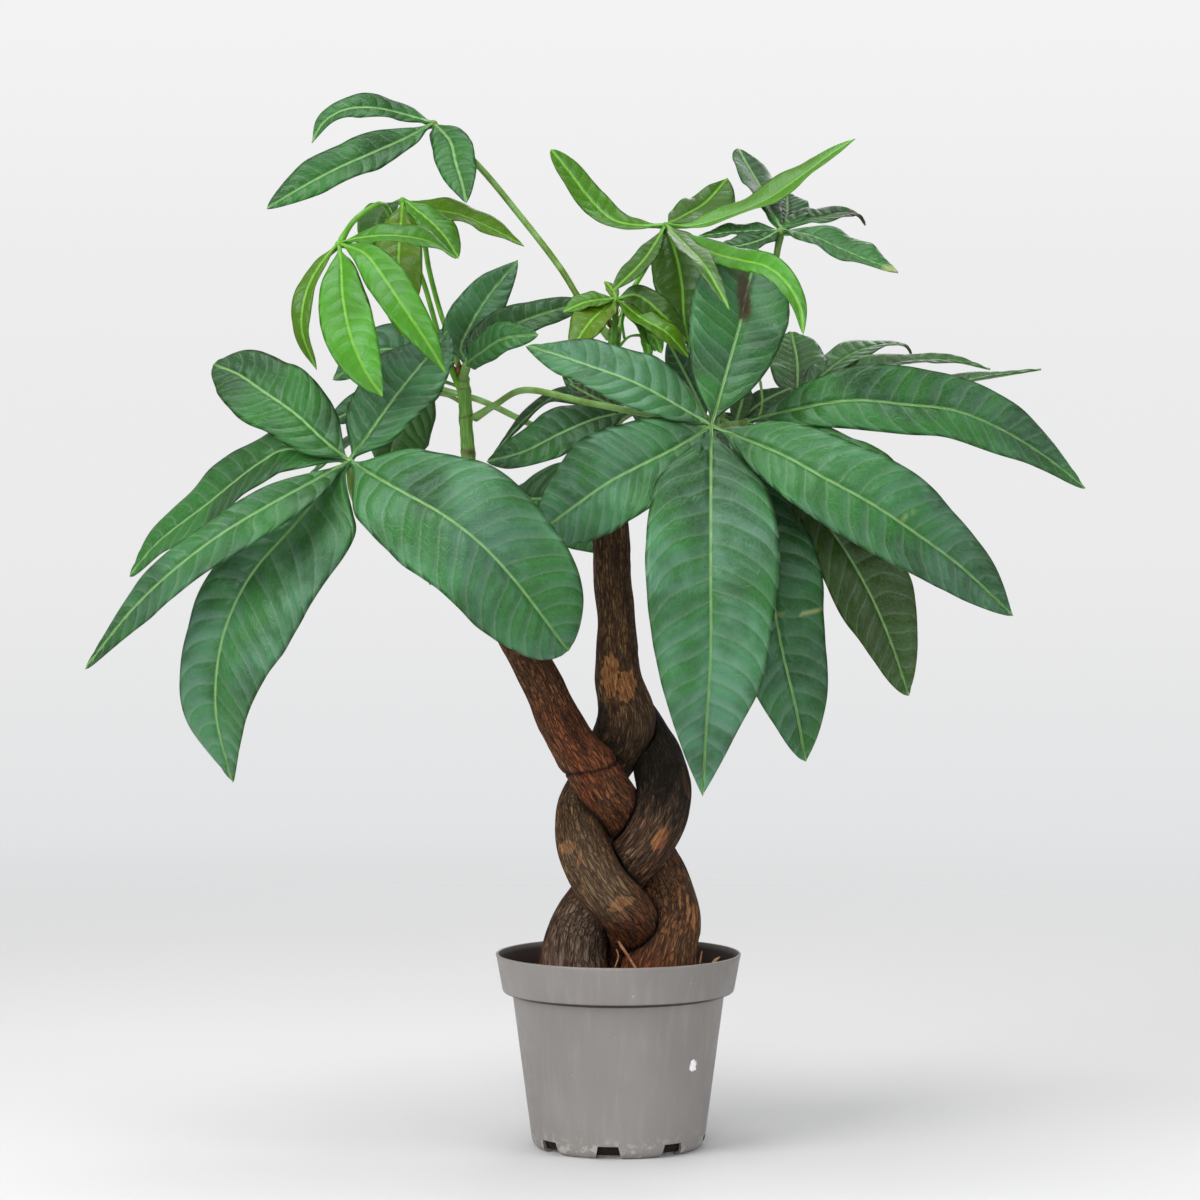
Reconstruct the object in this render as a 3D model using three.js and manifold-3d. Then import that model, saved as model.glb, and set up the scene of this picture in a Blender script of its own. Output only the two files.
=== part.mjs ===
// Potted money tree: three braided trunks in a plastic nursery pot, with palmate leaves on green shoots.
// Millimetres, +Z up. The origin is the middle of the pot's foot. The front is at -Y, +X is to the right.

import * as THREE from "three";
import { mergeVertices } from "three/addons/utils/BufferGeometryUtils.js";
import Module from "manifold-3d";

const wasm = await Module();
wasm.setup();
const { Manifold, Mesh } = wasm;

// Gap left between touching pieces
const gap = 0.3;

// Pot, as radii and heights
const potHeight = 95;
const rimRadius = 60;
const bandBottomRadius = 56.6;
const bandHeight = 18.7;
const ledgeDrop = 1.6;
const bodyTopRadius = 51.8;
const bodyFootRadius = 42.6;
const footCorner = 5;
const wall = 1.3;
const lipRadius = 0.65;
const notchCount = 8;
const notchTurn = -7;
const notchWidth = 12;
const notchHeight = 5;
const notchReach = 38.5;

// Soil, from the pot's floor to its surface
const soilTop = 85;
const soilDome = 1.6;

// Leaves
const bladeThickness = 0.7;
const bladeStations = [0, 0.09, 0.22, 0.4, 0.58, 0.76, 0.91, 1];
const narrowBase = 0.2;
const foldDepth = 0.1;
const waveDepth = 0.05;
const slivers = 0.12;
const wavesPerBlade = 2.6;
const stalkSides = 5;
const trunkSides = 12;

// The plant is laid out as seen from the eye: x and z of a point are where it shows in the plane y = 0,
// and y is its depth along that line of sight.
const eye = new THREE.Vector3(-9, -2000, 345);

// Three strands of the braid, from the top down: centre of the strand, then its radius.
// The left one starts at the upper left and stands at the right.
const strands = {
  left: [
    [-60, -6, 277, 8.5],
    [-54, -5, 262, 9.6],
    [-46, -5, 244, 9.8],
    [-35, -7, 222, 10],
    [-26, -9, 204, 11],
    [-14, -8, 186, 12],
    [-1, -2, 167, 13],
    [11, 8, 149, 13.5],
    [21, 10, 130, 14],
    [25, 4, 112, 15.5],
    [22, -3, 97, 17],
    [19, -4, 85, 18],
    [18, -2, 66, 18],
    [18, -2, 42, 17],
  ],
  middle: [
    [-5, 2, 316, 8],
    [-4, 2, 305, 9.2],
    [-3, 2, 282, 9.2],
    [-1, 2, 256, 9.6],
    [0, 2, 230, 11.5],
    [4, 4, 208, 14.5],
    [-7, 12, 186, 13],
    [-18, 7, 165, 12],
    [-17, -10, 147, 13],
    [-7, -19, 127, 13.5],
    [6, -11, 111, 13],
    [7, 7, 101, 12],
    [2, 19, 89, 12],
    [1, 20, 66, 12],
    [1, 20, 42, 11],
  ],
  right: [
    [-2, 26, 246, 7.5],
    [-1, 26, 236, 8.5],
    [3, 23, 220, 10],
    [12, 17, 204, 11.5],
    [20, 8, 187, 13],
    [22, -3, 169, 13.4],
    [15, -12, 150, 13],
    [2, -4, 136, 13],
    [-11, 8, 121, 13.5],
    [-19, 6, 106, 15],
    [-22, 1, 94, 16.5],
    [-22, 0, 85, 17],
    [-22, 0, 66, 16.5],
    [-22, 0, 42, 16],
  ],
};

// Green shoots that leave the strands' tops: centre, then radius
const shoots = {
  left: [
    [-59, -6, 274, 4.4],
    [-67, -8, 300, 4],
    [-72, -8, 325, 3.4],
    [-74, -8, 350, 3.2],
    [-75, -10, 368, 3.2],
    [-76, -12, 379, 2.6],
  ],
  middle: [
    [-5, 2, 313, 4.6],
    [-4, 3, 335, 4],
    [-3, 4, 360, 3.6],
    [-2, -2, 385, 3.3],
    [-2, -8, 402, 2.8],
  ],
  right: [
    [-2, 26, 243, 4.2],
    [-1, 27, 272, 4],
    [0, 28, 300, 3.8],
    [6, 28, 325, 3.6],
    [18, 30, 345, 3.4],
    [27, 34, 362, 2.8],
  ],
};

// Leaves: each is one stalk, a hub and leaflets. face is the way that its upper side looks at the hub.
// A leaflet is its tip, the middle of its rib and its full width.
const leaves = [
  {
    name: "leaf_front_right",
    tone: "mature",
    face: [0.1, -0.93, 0.35],
    stalk: [[-71, -8, 356], [-60, -22, 363], [-47, -35, 370], [-15, -62, 364], [16, -82, 358]],
    hub: [45, -92, 352],
    leaflets: [
      { tip: [68, -22, 438], through: [[49, -86, 366], [54, -74, 384], [59, -60, 402], [63, -40, 421]],
        width: 47, fullest: 0.58, drawn: 0.6, lean: [0.06, 0.06] },
      { tip: [-45, -66, 391], through: [[26, -92, 364], [7, -92, 374], [-15, -84, 382], [-30, -76, 387]],
        width: 33, face: [-0.1, -0.7, 0.7], fullest: 0.45, drawn: 0.9 },
      { tip: [-38, -64, 301], through: [[26, -100, 341], [10, -98, 333], [-5, -90, 325], [-22, -78, 313]],
        width: 46, fullest: 0.52, drawn: 0.7 },
      { tip: [41, -96, 172], through: [[45, -112, 313], [45, -120, 279], [45, -116, 241], [43, -106, 207]],
        width: 62, fullest: 0.38, drawn: 1 },
      { tip: [192, -88, 260],
        through: [[79, -104, 339], [101, -114, 327], [123, -116, 315], [144, -112, 301], [167, -102, 284]],
        width: 44, fullest: 0.48 },
    ],
  },
  {
    name: "leaf_right",
    tone: "mature",
    face: [0.25, -0.85, 0.45],
    stalk: [[18, 30, 345], [36, 6, 348], [53, -24, 353]],
    hub: [62, -48, 354],
    leaflets: [
      { tip: [227, -20, 322],
        through: [[84, -56, 360], [113, -60, 365], [140, -56, 363], [164, -48, 360], [186, -38, 351],
          [207, -28, 338]],
        width: 37, fullest: 0.48 },
      { tip: [158, -52, 294], through: [[112, -80, 329]], width: 38 },
      { tip: [91, -62, 189], through: [[65, -66, 317], [73, -78, 280], [80, -78, 243], [87, -70, 213]],
        width: 48, fullest: 0.48, drawn: 0.75 },
      { tip: [141, -36, 221], through: [[84, -56, 326], [107, -60, 297], [122, -54, 272], [134, -44, 244]],
        width: 43, fullest: 0.58, drawn: 0.8 },
    ],
  },
  {
    name: "leaf_right_back",
    tone: "mature",
    face: [0.1, -0.35, 0.93],
    stalk: [[26, 34, 360], [46, 50, 364], [72, 58, 367]],
    hub: [87, 58, 365],
    leaflets: [
      { tip: [84, 124, 398], through: [[87, 96, 384]], width: 30, face: [0, -0.7, 0.7], drawn: 0.7 },
      { tip: [143, 132, 386], through: [[104, 84, 381], [117, 104, 389], [131, 122, 392], [140, 132, 391]],
        width: 21, face: [0, -0.3, 0.95] },
      { tip: [181, 88, 380], through: [[112, 74, 377], [138, 84, 383], [162, 90, 384]],
        width: 26, face: [0, -0.2, 0.98], drawn: 1 },
      { tip: [206, 40, 380], through: [[147, 52, 371]], width: 24, face: [0, -0.2, 0.98], drawn: 1 },
    ],
  },
  {
    name: "leaf_upper_right",
    tone: "mature",
    face: [0.05, -0.45, 0.9],
    stalk: [[22, 32, 355], [38, 26, 371], [60, 24, 392], [73, 14, 419]],
    hub: [79, 10, 447],
    leaflets: [
      { tip: [58, 96, 487], through: [[74, 30, 458], [68, 60, 470], [62, 84, 480]],
        width: 20, face: [0.3, -0.7, 0.6], fullest: 0.62, drawn: 0.6 },
      { tip: [82, 70, 465], through: [[82, 36, 455]], width: 22, face: [0, -0.6, 0.8], drawn: 0.6 },
      { tip: [120, 62, 450], through: [[88, 24, 452], [100, 40, 454], [109, 52, 456], [116, 58, 455]],
        width: 18, face: [0.2, -0.3, 0.93] },
      { tip: [136, -22, 427], through: [[93, 0, 445], [107, -8, 439], [121, -16, 433]],
        width: 26, drawn: 0.9 },
      { tip: [38, 18, 444], through: [[63, 14, 447], [50, 16, 446]], width: 17 },
      { tip: [49, -8, 439], through: [[67, 2, 442], [59, -2, 440]], width: 17 },
    ],
  },
  {
    name: "leaf_top",
    tone: "young",
    face: [0, -0.35, 0.93],
    stalk: [[-2, 0, 389], [4, 16, 413], [15, 22, 433]],
    hub: [23, 20, 450],
    leaflets: [
      { tip: [-33, 46, 487], through: [[11, 24, 450], [-3, 34, 453], [-14, 40, 463], [-24, 44, 476]],
        width: 15, face: [0.4, -0.7, 0.6], fullest: 0.6, drawn: 0.6 },
      { tip: [115, 44, 492],
        through: [[37, 22, 450], [54, 24, 455], [71, 28, 462], [89, 34, 474], [104, 40, 485]],
        width: 22, face: [-0.3, -0.4, 0.86] },
      { tip: [53, 72, 473], through: [[32, 36, 455], [42, 54, 461]],
        width: 25, face: [0, -0.7, 0.7], fullest: 0.48, drawn: 0.95, lean: [-0.35, -0.35] },
      { tip: [90, -90, 397],
        through: [[35, -6, 442], [48, -34, 436], [60, -56, 433], [72, -68, 430], [81, -78, 423],
          [88, -86, 411]],
        width: 15, face: [0.1, -1, 0.15], fullest: 0.55, drawn: 0.8 },
      { tip: [54, -86, 409], through: [[33, -24, 440], [42, -62, 430]],
        width: 14, face: [0.2, -0.8, 0.5], drawn: 0.9 },
      { tip: [35, -14, 391], through: [[28, 8, 436], [31, 0, 421], [32, -8, 405]],
        width: 27, face: [-0.2, -0.9, 0.4], fullest: 0.42 },
      { tip: [-3, -44, 418], through: [[12, -16, 433]], width: 12, face: [0, -0.6, 0.8], fullest: 0.6 },
    ],
  },
  {
    name: "leaf_top_left",
    tone: "mature",
    face: [-0.2, -0.3, 0.93],
    stalk: [[-3, -5, 394], [-18, -2, 413], [-28, 0, 429], [-48, 5, 455], [-69, 8, 480]],
    hub: [-90, 10, 499],
    leaflets: [
      { tip: [-149, 0, 490], through: [[-105, 10, 504], [-120, 6, 507], [-133, 4, 506], [-143, 2, 500]],
        width: 17, face: [-0.1, -0.62, 0.78], fullest: 0.45, drawn: 1 },
      { tip: [-171, -34, 458],
        through: [[-104, 0, 492], [-120, -10, 485], [-136, -20, 478], [-153, -28, 469]],
        width: 24, face: [-0.2, -0.88, 0.43], fullest: 0.52, drawn: 0.75 },
      { tip: [-74, -36, 461], through: [[-82, -2, 491], [-79, -14, 480], [-76, -26, 470]],
        width: 20, face: [0.1, -0.9, 0.43], fullest: 0.45 },
      { tip: [-77, 100, 471], through: [[-82, 60, 483]], width: 15, face: [0, -0.1, 1] },
    ],
  },
  {
    name: "leaf_left_hanging",
    tone: "young",
    face: [-0.1, -0.8, 0.6],
    stalk: [
      [-75, -10, 366], [-85, -14, 389], [-97, -4, 428], [-107, -4, 445],
      [-113, -24, 459], [-118, -42, 460], [-129, -54, 452],
    ],
    hub: [-136, -58, 441],
    leaflets: [
      { tip: [-147, -60, 380], through: [[-145, -62, 431], [-152, -68, 417], [-154, -68, 400]],
        width: 12, face: [-0.6, -0.7, 0.3] },
      { tip: [-115, -106, 367],
        through: [[-135, -72, 430], [-134, -86, 414], [-130, -98, 395], [-123, -104, 379]],
        width: 25, fullest: 0.58 },
      { tip: [-84, -94, 378],
        through: [[-123, -74, 436], [-113, -86, 423], [-103, -94, 408], [-93, -96, 393]],
        width: 19, drawn: 1 },
      { tip: [-79, -50, 434], through: [[-125, -62, 444], [-109, -64, 445], [-92, -58, 442]],
        width: 18, face: [0.1, -0.6, 0.8], fullest: 0.55 },
    ],
  },
  {
    name: "leaf_left_upper",
    tone: "young",
    face: [0, -0.6, 0.8],
    stalk: [[-76, -11, 375], [-80, 12, 389], [-87, 36, 409], [-92, 24, 428], [-96, 6, 448]],
    hub: [-105, -14, 462],
    leaflets: [
      { tip: [-46, 2, 440], through: [[-92, -10, 458], [-77, -4, 455], [-61, 0, 448]],
        width: 19, face: [0.1, -0.6, 0.8] },
      { tip: [-78, -36, 434], through: [[-94, -22, 454], [-85, -30, 445]],
        width: 18, face: [0.2, -0.6, 0.78] },
      { tip: [-105, -44, 396], through: [[-107, -36, 430]], width: 24, face: [-0.1, -0.9, 0.4] },
      { tip: [-122, 74, 432], through: [[-116, 36, 456]], width: 20 },
    ],
  },
  {
    name: "leaf_front_left",
    tone: "mature",
    face: [-0.15, -0.85, 0.5],
    stalk: [[-64, -7, 285], [-73, -24, 288], [-92, -47, 292], [-120, -78, 304], [-130, -94, 321]],
    hub: [-131, -100, 335],
    leaflets: [
      { tip: [-197, -56, 382],
        through: [[-143, -98, 345], [-157, -90, 358], [-174, -76, 370], [-186, -64, 378]],
        width: 37, fullest: 0.55, drawn: 0.6 },
      { tip: [-83, -50, 398], through: [[-110, -84, 365]], width: 38 },
      { tip: [-25, -110, 243],
        through: [[-108, -116, 322], [-85, -128, 309], [-67, -132, 295], [-52, -130, 279],
          [-38, -122, 261]],
        width: 63, fullest: 0.52, drawn: 0.56, lean: [-0.08, 0.02] },
      { tip: [-188, -90, 179],
        through: [[-147, -110, 317], [-159, -118, 303], [-179, -122, 280], [-191, -120, 256],
          [-196, -114, 233], [-196, -104, 209]],
        width: 55, fullest: 0.48, drawn: 0.95, lean: [0.8, -0.1] },
      { tip: [-260, -94, 234],
        through: [[-148, -116, 326], [-172, -134, 313], [-195, -136, 299], [-216, -130, 283],
          [-237, -114, 263]],
        width: 23, fullest: 0.45, drawn: 0.8, lean: [0.25, 0.25] },
      { tip: [-238, -30, 279],
        through: [[-162, -86, 341], [-174, -80, 335], [-201, -58, 314], [-225, -40, 295]],
        width: 28, fullest: 0.48, drawn: 0.75, lean: [0.25, 0.25] },
    ],
  },
  {
    name: "leaf_left_crown",
    tone: "mature",
    face: [0.3, -0.6, 0.75],
    stalk: [[-76, -12, 375]],
    hub: [-74, -17, 382],
    leaflets: [
      { tip: [-49, 44, 433], through: [[-77, -6, 390], [-73, 8, 400], [-64, 26, 415]],
        width: 25, fullest: 0.42 },
      { tip: [-39, -38, 397], through: [[-67, -28, 388], [-56, -36, 395]],
        width: 18, face: [0.1, -0.9, 0.4], drawn: 0.75 },
      { tip: [-10, 34, 413], through: [[-62, 4, 396], [-48, 12, 403], [-30, 24, 409]],
        width: 20, fullest: 0.45 },
    ],
  },
  {
    name: "leaf_left_back",
    tone: "mature",
    face: [-0.3, -0.4, 0.85],
    stalk: [[-3, 4, 340], [-15, 18, 345], [-39, 30, 352], [-67, 42, 365]],
    hub: [-89, 52, 371],
    leaflets: [
      { tip: [-139, 70, 375], through: [[-112, 66, 390]], width: 27, face: [-0.2, -0.8, 0.55] },
      { tip: [-144, 60, 353], through: [[-119, 62, 364]], width: 20, face: [-0.2, -0.8, 0.55] },
      { tip: [-114, 30, 326], through: [[-107, 44, 351]], width: 32, face: [0.5, -0.8, 0.2] },
      { tip: [-152, 80, 327], through: [[-123, 74, 350]], width: 24 },
      { tip: [-82, 150, 400], through: [[-87, 104, 392]], width: 32 },
    ],
  },
  {
    name: "leaf_middle_back",
    tone: "mature",
    face: [-0.1, -0.6, 0.8],
    stalk: [[-2, 3, 346], [0, -10, 354]],
    hub: [5, -20, 359],
    leaflets: [
      { tip: [-64, -34, 335], through: [[-11, -30, 356], [-28, -38, 349], [-46, -38, 340]],
        width: 26, face: [-0.1, -0.8, 0.6], drawn: 0.75 },
      { tip: [-62, 14, 337], through: [[-14, 2, 365], [-30, 10, 367], [-45, 14, 356]],
        width: 15, drawn: 0.8 },
      { tip: [41, -22, 348], through: [[23, -28, 356]], width: 18, face: [0, -0.8, 0.6] },
      { tip: [-28, 2, 380], through: [[-18, -4, 369]], width: 12 },
      { tip: [-24, -20, 373], through: [[-13, -22, 367]], width: 13, face: [0, -0.8, 0.6] },
    ],
  },
  {
    name: "leaf_middle_crown",
    tone: "young",
    face: [0, -0.6, 0.8],
    stalk: [[-2, -5, 392], [-2, -16, 402]],
    hub: [-1, -24, 414],
    leaflets: [
      { tip: [34, -40, 386], through: [[11, -34, 405], [23, -40, 398]],
        width: 15, face: [0.3, -0.7, 0.65], fullest: 0.55, drawn: 0.75 },
      { tip: [-27, -34, 408], through: [[-15, -30, 413]], width: 13 },
      { tip: [-23, -40, 389], through: [[-14, -38, 403]], width: 19 },
      { tip: [18, -16, 389], through: [[11, -24, 403]], width: 13 },
      { tip: [33, -26, 394], through: [[9, -28, 416], [22, -30, 406]],
        width: 14, face: [0.2, -0.8, 0.5], drawn: 0.75 },
      { tip: [-7, -14, 423], through: [[-4, -16, 420]], width: 6 },
    ],
  },
  {
    name: "leaf_back_left",
    tone: "mature",
    face: [-0.2, 0.5, 0.84],
    stalk: [[-1, 27, 279], [0, 52, 286], [-11, 84, 298], [-33, 102, 312]],
    hub: [-55, 104, 317],
    leaflets: [
      { tip: [-92, 172, 275], through: [[-75, 150, 302]], width: 35 },
      { tip: [-45, 190, 268], through: [[-50, 162, 297]], width: 36 },
      { tip: [-107, 186, 305], through: [[-82, 150, 314]], width: 35 },
      { tip: [-10, 192, 312], through: [[-32, 154, 317]], width: 34 },
      { tip: [-50, 206, 317], through: [[-53, 155, 320]], width: 32 },
      { tip: [-3, 66, 291], through: [[-28, 86, 315]], width: 41, face: [0, -0.9, 0.4] },
    ],
  },
  {
    name: "leaf_back_right",
    tone: "mature",
    face: [0.2, 0.5, 0.84],
    stalk: [[19, 30, 346], [26, 62, 351], [37, 92, 355]],
    hub: [50, 112, 358],
    leaflets: [
      { tip: [69, 185, 287], through: [[60, 160, 326]], width: 36 },
      { tip: [35, 200, 295], through: [[41, 165, 329]], width: 35 },
      { tip: [113, 195, 326], through: [[84, 165, 351]], width: 36 },
      { tip: [40, 200, 395], through: [[45, 160, 382]], width: 33 },
      { tip: [118, 150, 287], through: [[89, 138, 326]], width: 35 },
    ],
  },
];

// A leaf springs from the shoot that carries it
const carriers = {
  leaf_front_right: "left",
  leaf_right: "right",
  leaf_right_back: "right",
  leaf_upper_right: "right",
  leaf_top: "middle",
  leaf_top_left: "middle",
  leaf_left_hanging: "left",
  leaf_left_upper: "left",
  leaf_front_left: "left",
  leaf_left_crown: "left",
  leaf_left_back: "middle",
  leaf_middle_back: "middle",
  leaf_middle_crown: "middle",
  leaf_back_left: "right",
  leaf_back_right: "right",
};

// Materials
function plain(colour, roughness) {
  return new THREE.MeshStandardMaterial({ color: colour, roughness, metalness: 0 });
}

const colours = {
  pot: 0x97938f,
  soil: 0x33261f,
  left: 0x6a4330,
  middle: 0x7c5a40,
  right: 0x4b3527,
  shoot: 0x4f7f2c,
  mature: 0x4c8550,
  young: 0x8ec24a,
};

// Where a point of the layout lies in space
function placed([x, y, z]) {
  const seen = new THREE.Vector3(x, 0, z);
  return seen.sub(eye).multiplyScalar((y - eye.y) / -eye.y).add(eye);
}

// A closed body through rings of points, each ring turning the same way about the path.
// The sides named in crossed have their quads split along the other diagonal.
function loft(rings, crossed = []) {
  const sides = rings[0].length;
  const positions = rings.flat().flatMap((p) => [p.x, p.y, p.z]);
  const index = [];
  for (let row = 0; row < rings.length - 1; row += 1) {
    for (let side = 0; side < sides; side += 1) {
      const a = row * sides + side;
      const b = row * sides + ((side + 1) % sides);
      if (crossed.includes(side)) {
        index.push(a, b, a + sides, b, b + sides, a + sides);
      } else {
        index.push(a, b, b + sides, a, b + sides, a + sides);
      }
    }
  }
  for (const [ring, flip] of [[0, true], [rings.length - 1, false]]) {
    const middle = positions.length / 3;
    const centre = new THREE.Vector3();
    rings[ring].forEach((p) => centre.add(p));
    centre.divideScalar(sides);
    positions.push(centre.x, centre.y, centre.z);
    for (let side = 0; side < sides; side += 1) {
      const a = ring * sides + side;
      const b = ring * sides + ((side + 1) % sides);
      index.push(middle, flip ? b : a, flip ? a : b);
    }
  }
  const geometry = new THREE.BufferGeometry();
  geometry.setAttribute("position", new THREE.Float32BufferAttribute(positions, 3));
  geometry.setIndex(index);
  return geometry;
}

// Solids for booleans, and back
function solid(geometry) {
  const bare = geometry.clone();
  bare.deleteAttribute("normal");
  bare.deleteAttribute("uv");
  const merged = mergeVertices(bare, 1e-4);
  const mesh = new Mesh({
    numProp: 3,
    vertProperties: new Float32Array(merged.attributes.position.array),
    triVerts: new Uint32Array(merged.index.array),
  });
  mesh.merge();
  return new Manifold(mesh);
}

function geometryOf(body) {
  const { vertProperties, triVerts, numProp } = body.getMesh();
  const positions = [];
  for (let i = 0; i < vertProperties.length; i += numProp) {
    positions.push(vertProperties[i], vertProperties[i + 1], vertProperties[i + 2]);
  }
  const geometry = new THREE.BufferGeometry();
  geometry.setAttribute("position", new THREE.Float32BufferAttribute(positions, 3));
  geometry.setIndex([...triVerts]);
  geometry.computeVertexNormals();
  return geometry;
}

// The largest body of a cut, without slivers
function largest(body) {
  return body.decompose().sort((a, b) => b.volume() - a.volume())[0];
}

const plant = new THREE.Group();

function add(name, body, material) {
  const mesh = new THREE.Mesh(geometryOf(body), material);
  mesh.name = name;
  plant.add(mesh);
}

// Frames at stations along a path: each carries the normal of the one before it
function frames(curve, stations, firstNormal, byLength = false) {
  let normal = firstNormal.clone();
  return stations.map((t) => {
    const point = byLength ? curve.getPointAt(t) : curve.getPoint(t);
    const along = byLength ? curve.getTangentAt(t) : curve.getTangent(t);
    normal = normal.clone().addScaledVector(along, -normal.dot(along)).normalize();
    return { point, along, normal, side: normal.clone().cross(along) };
  });
}

function evenStations(rows) {
  return Array.from({ length: rows + 1 }, (_, row) => row / rows);
}

// A round limb with its own radius at each knot
function limb(knots, sides, rows, grown = 0) {
  const points = knots.map(placed);
  const curve = new THREE.CatmullRomCurve3(points, false, "centripetal");
  const sizes = knots.map((knot) => new THREE.Vector3(knot[3], 0, 0));
  const radii = new THREE.CatmullRomCurve3(sizes, false, "catmullrom");
  const path = frames(curve, evenStations(rows), new THREE.Vector3(0.2, -1, 0));
  const rings = path.map(({ point, normal, side }, row) => {
    const radius = radii.getPoint(row / rows).x + grown;
    return Array.from({ length: sides }, (_, i) => {
      const turn = (i / sides) * 2 * Math.PI;
      return point.clone()
        .addScaledVector(side, radius * Math.cos(turn))
        .addScaledVector(normal, radius * Math.sin(turn));
    });
  });
  if (grown > 0) {
    rings[0].forEach((p) => p.addScaledVector(path[0].along, -grown));
    rings[rows].forEach((p) => p.addScaledVector(path[rows].along, grown));
  }
  return solid(loft(rings));
}

// Trunks: where two strands press together, the one in front keeps its shape
const strandRows = 22;
const strandSolid = {};
const strandGrown = {};
for (const [name, knots] of Object.entries(strands)) {
  strandSolid[name] = limb(knots, trunkSides, strandRows);
  strandGrown[name] = limb(knots, trunkSides, strandRows, gap);
}
const trunks = {
  middle: strandSolid.middle,
  right: largest(strandSolid.right.subtract(strandGrown.middle)),
  left: largest(strandSolid.left.subtract(strandGrown.middle).subtract(strandGrown.right)),
};
const trunkCut = Object.values(strandGrown).reduce((all, one) => all.add(one));

// Pot, turned about its axis, with notches through the corner of its foot
function potBody() {
  const outer = [
    [0, 0],
    [bodyFootRadius - footCorner, 0],
    [bodyFootRadius - footCorner * 0.3, footCorner * 0.3],
    [bodyFootRadius, footCorner],
    [bodyTopRadius, potHeight - bandHeight - ledgeDrop],
    [bandBottomRadius, potHeight - bandHeight],
    [rimRadius, potHeight - lipRadius],
    [rimRadius - lipRadius, potHeight],
  ];
  const inner = [
    [rimRadius - wall, potHeight - lipRadius],
    [bandBottomRadius - wall, potHeight - bandHeight + 0.4],
    [bodyTopRadius - wall, potHeight - bandHeight - ledgeDrop - 0.4],
    [bodyFootRadius - wall, footCorner + 0.5],
    [bodyFootRadius - wall - footCorner * 0.3, footCorner * 0.3 + 0.7],
    [bodyFootRadius - footCorner, wall],
    [0, wall],
  ];
  const profile = [...outer, ...inner].map(([r, z]) => new THREE.Vector2(r, z));
  const turned = new THREE.LatheGeometry(profile, 40);
  turned.rotateX(Math.PI / 2);
  return solid(turned);
}

function notch(angle) {
  const halfFoot = notchWidth / 2;
  const halfTop = notchWidth / 2 - 1.5;
  const face = new THREE.Shape([
    new THREE.Vector2(-halfFoot, -1),
    new THREE.Vector2(halfFoot, -1),
    new THREE.Vector2(halfTop, notchHeight),
    new THREE.Vector2(-halfTop, notchHeight),
  ]);
  const block = new THREE.ExtrudeGeometry(face, { depth: 12, bevelEnabled: false });
  block.rotateX(Math.PI / 2);
  block.translate(0, -notchReach, 0);
  block.rotateZ(angle);
  return solid(block);
}

let pot = potBody();
for (let i = 0; i < notchCount; i += 1) {
  pot = pot.subtract(notch(THREE.MathUtils.degToRad(notchTurn + (i * 360) / notchCount)));
}
add("pot", pot, plain(colours.pot, 0.5));

// Soil fills the pot, with a plain hole round each trunk
function soilBody() {
  const clear = wall + gap + 0.1;
  const shoulder = potHeight - bandHeight;
  const profile = [
    [0, wall + gap],
    [bodyFootRadius - footCorner - gap, wall + gap],
    [bodyFootRadius - clear - footCorner * 0.3, footCorner * 0.3 + 1],
    [bodyFootRadius - clear, footCorner + 0.8],
    [bodyTopRadius - clear, shoulder - ledgeDrop - 0.1],
    [bandBottomRadius - clear, shoulder + 0.9],
    [bandBottomRadius - clear + 1, soilTop - 1.2],
    [bandBottomRadius - clear - 2, soilTop],
    [30, soilTop + soilDome * 0.7],
    [0, soilTop + soilDome],
  ].map(([r, z]) => new THREE.Vector2(r, z));
  const turned = new THREE.LatheGeometry(profile, 32);
  turned.rotateX(Math.PI / 2);
  return solid(turned);
}
add("soil", soilBody().subtract(trunkCut), plain(colours.soil, 0.95));

for (const [name, body] of Object.entries(trunks)) {
  add(`trunk_${name}`, body, plain(colours[name], 0.85));
}

// Shoots stand on the cut tops of the trunks
const shootSolid = {};
const shootGrown = {};
for (const [name, knots] of Object.entries(shoots)) {
  shootSolid[name] = largest(limb(knots, 8, 14).subtract(trunkCut));
  shootGrown[name] = limb(knots, 8, 14, gap);
  add(`shoot_${name}`, shootSolid[name], plain(colours.shoot, 0.6));
}

// Outline of a leaflet: half its width at a point along its rib, from a narrow foot to a tip that is blunt
// where drawn is small and long where it is large
function fullness(t, fullest, drawn) {
  const rise = fullest / (1 - fullest);
  const shape = (t ** rise * (1 - t)) / (fullest ** rise * (1 - fullest));
  const base = t < narrowBase ? 1 - (1 - t / narrowBase) ** 2 : 1;
  return base * Math.max(shape, 0) ** drawn;
}

// A leaflet: two like faces a blade's thickness apart, folded up a little from the rib, with waved edges.
// The upper face, sides 3 and 4 of the rings, is split into triangles as the lower one is.
function leaflet(hub, blade, leafFace, order) {
  const { tip, through, width, face = leafFace, fullest = 0.5, drawn = 0.85, lean = [0, 0] } = blade;
  const rib = new THREE.CatmullRomCurve3([hub, ...through, tip].map(placed), false, "centripetal");
  const normal = new THREE.Vector3(...face).normalize();
  const rings = frames(rib, bladeStations, normal, true).map((frame, row) => {
    const t = bladeStations[row];
    const middle = Math.max((width / 2) * fullness(t, fullest, drawn), row === 0 ? 1.2 : 0.5);
    const wider = lean[0] * (1 - t) + lean[1] * t;
    const column = (across, layer) => {
      const half = middle * (1 + across * wider);
      const phase = order * 2.4 + (across > 0 ? 1.9 : 0);
      const ripple = Math.sin(2 * Math.PI * wavesPerBlade * t + phase) * Math.sin(Math.PI * t);
      const wave = waveDepth * width * ripple;
      const lift = across === 0 ? 0 : foldDepth * half * 2 + wave;
      return frame.point.clone()
        .addScaledVector(frame.side, across * half)
        .addScaledVector(frame.normal, lift + (layer * bladeThickness) / 2);
    };
    return [column(-1, -1), column(0, -1), column(1, -1), column(1, 1), column(0, 1), column(-1, 1)];
  });
  return solid(loft(rings, [3, 4]));
}

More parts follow.
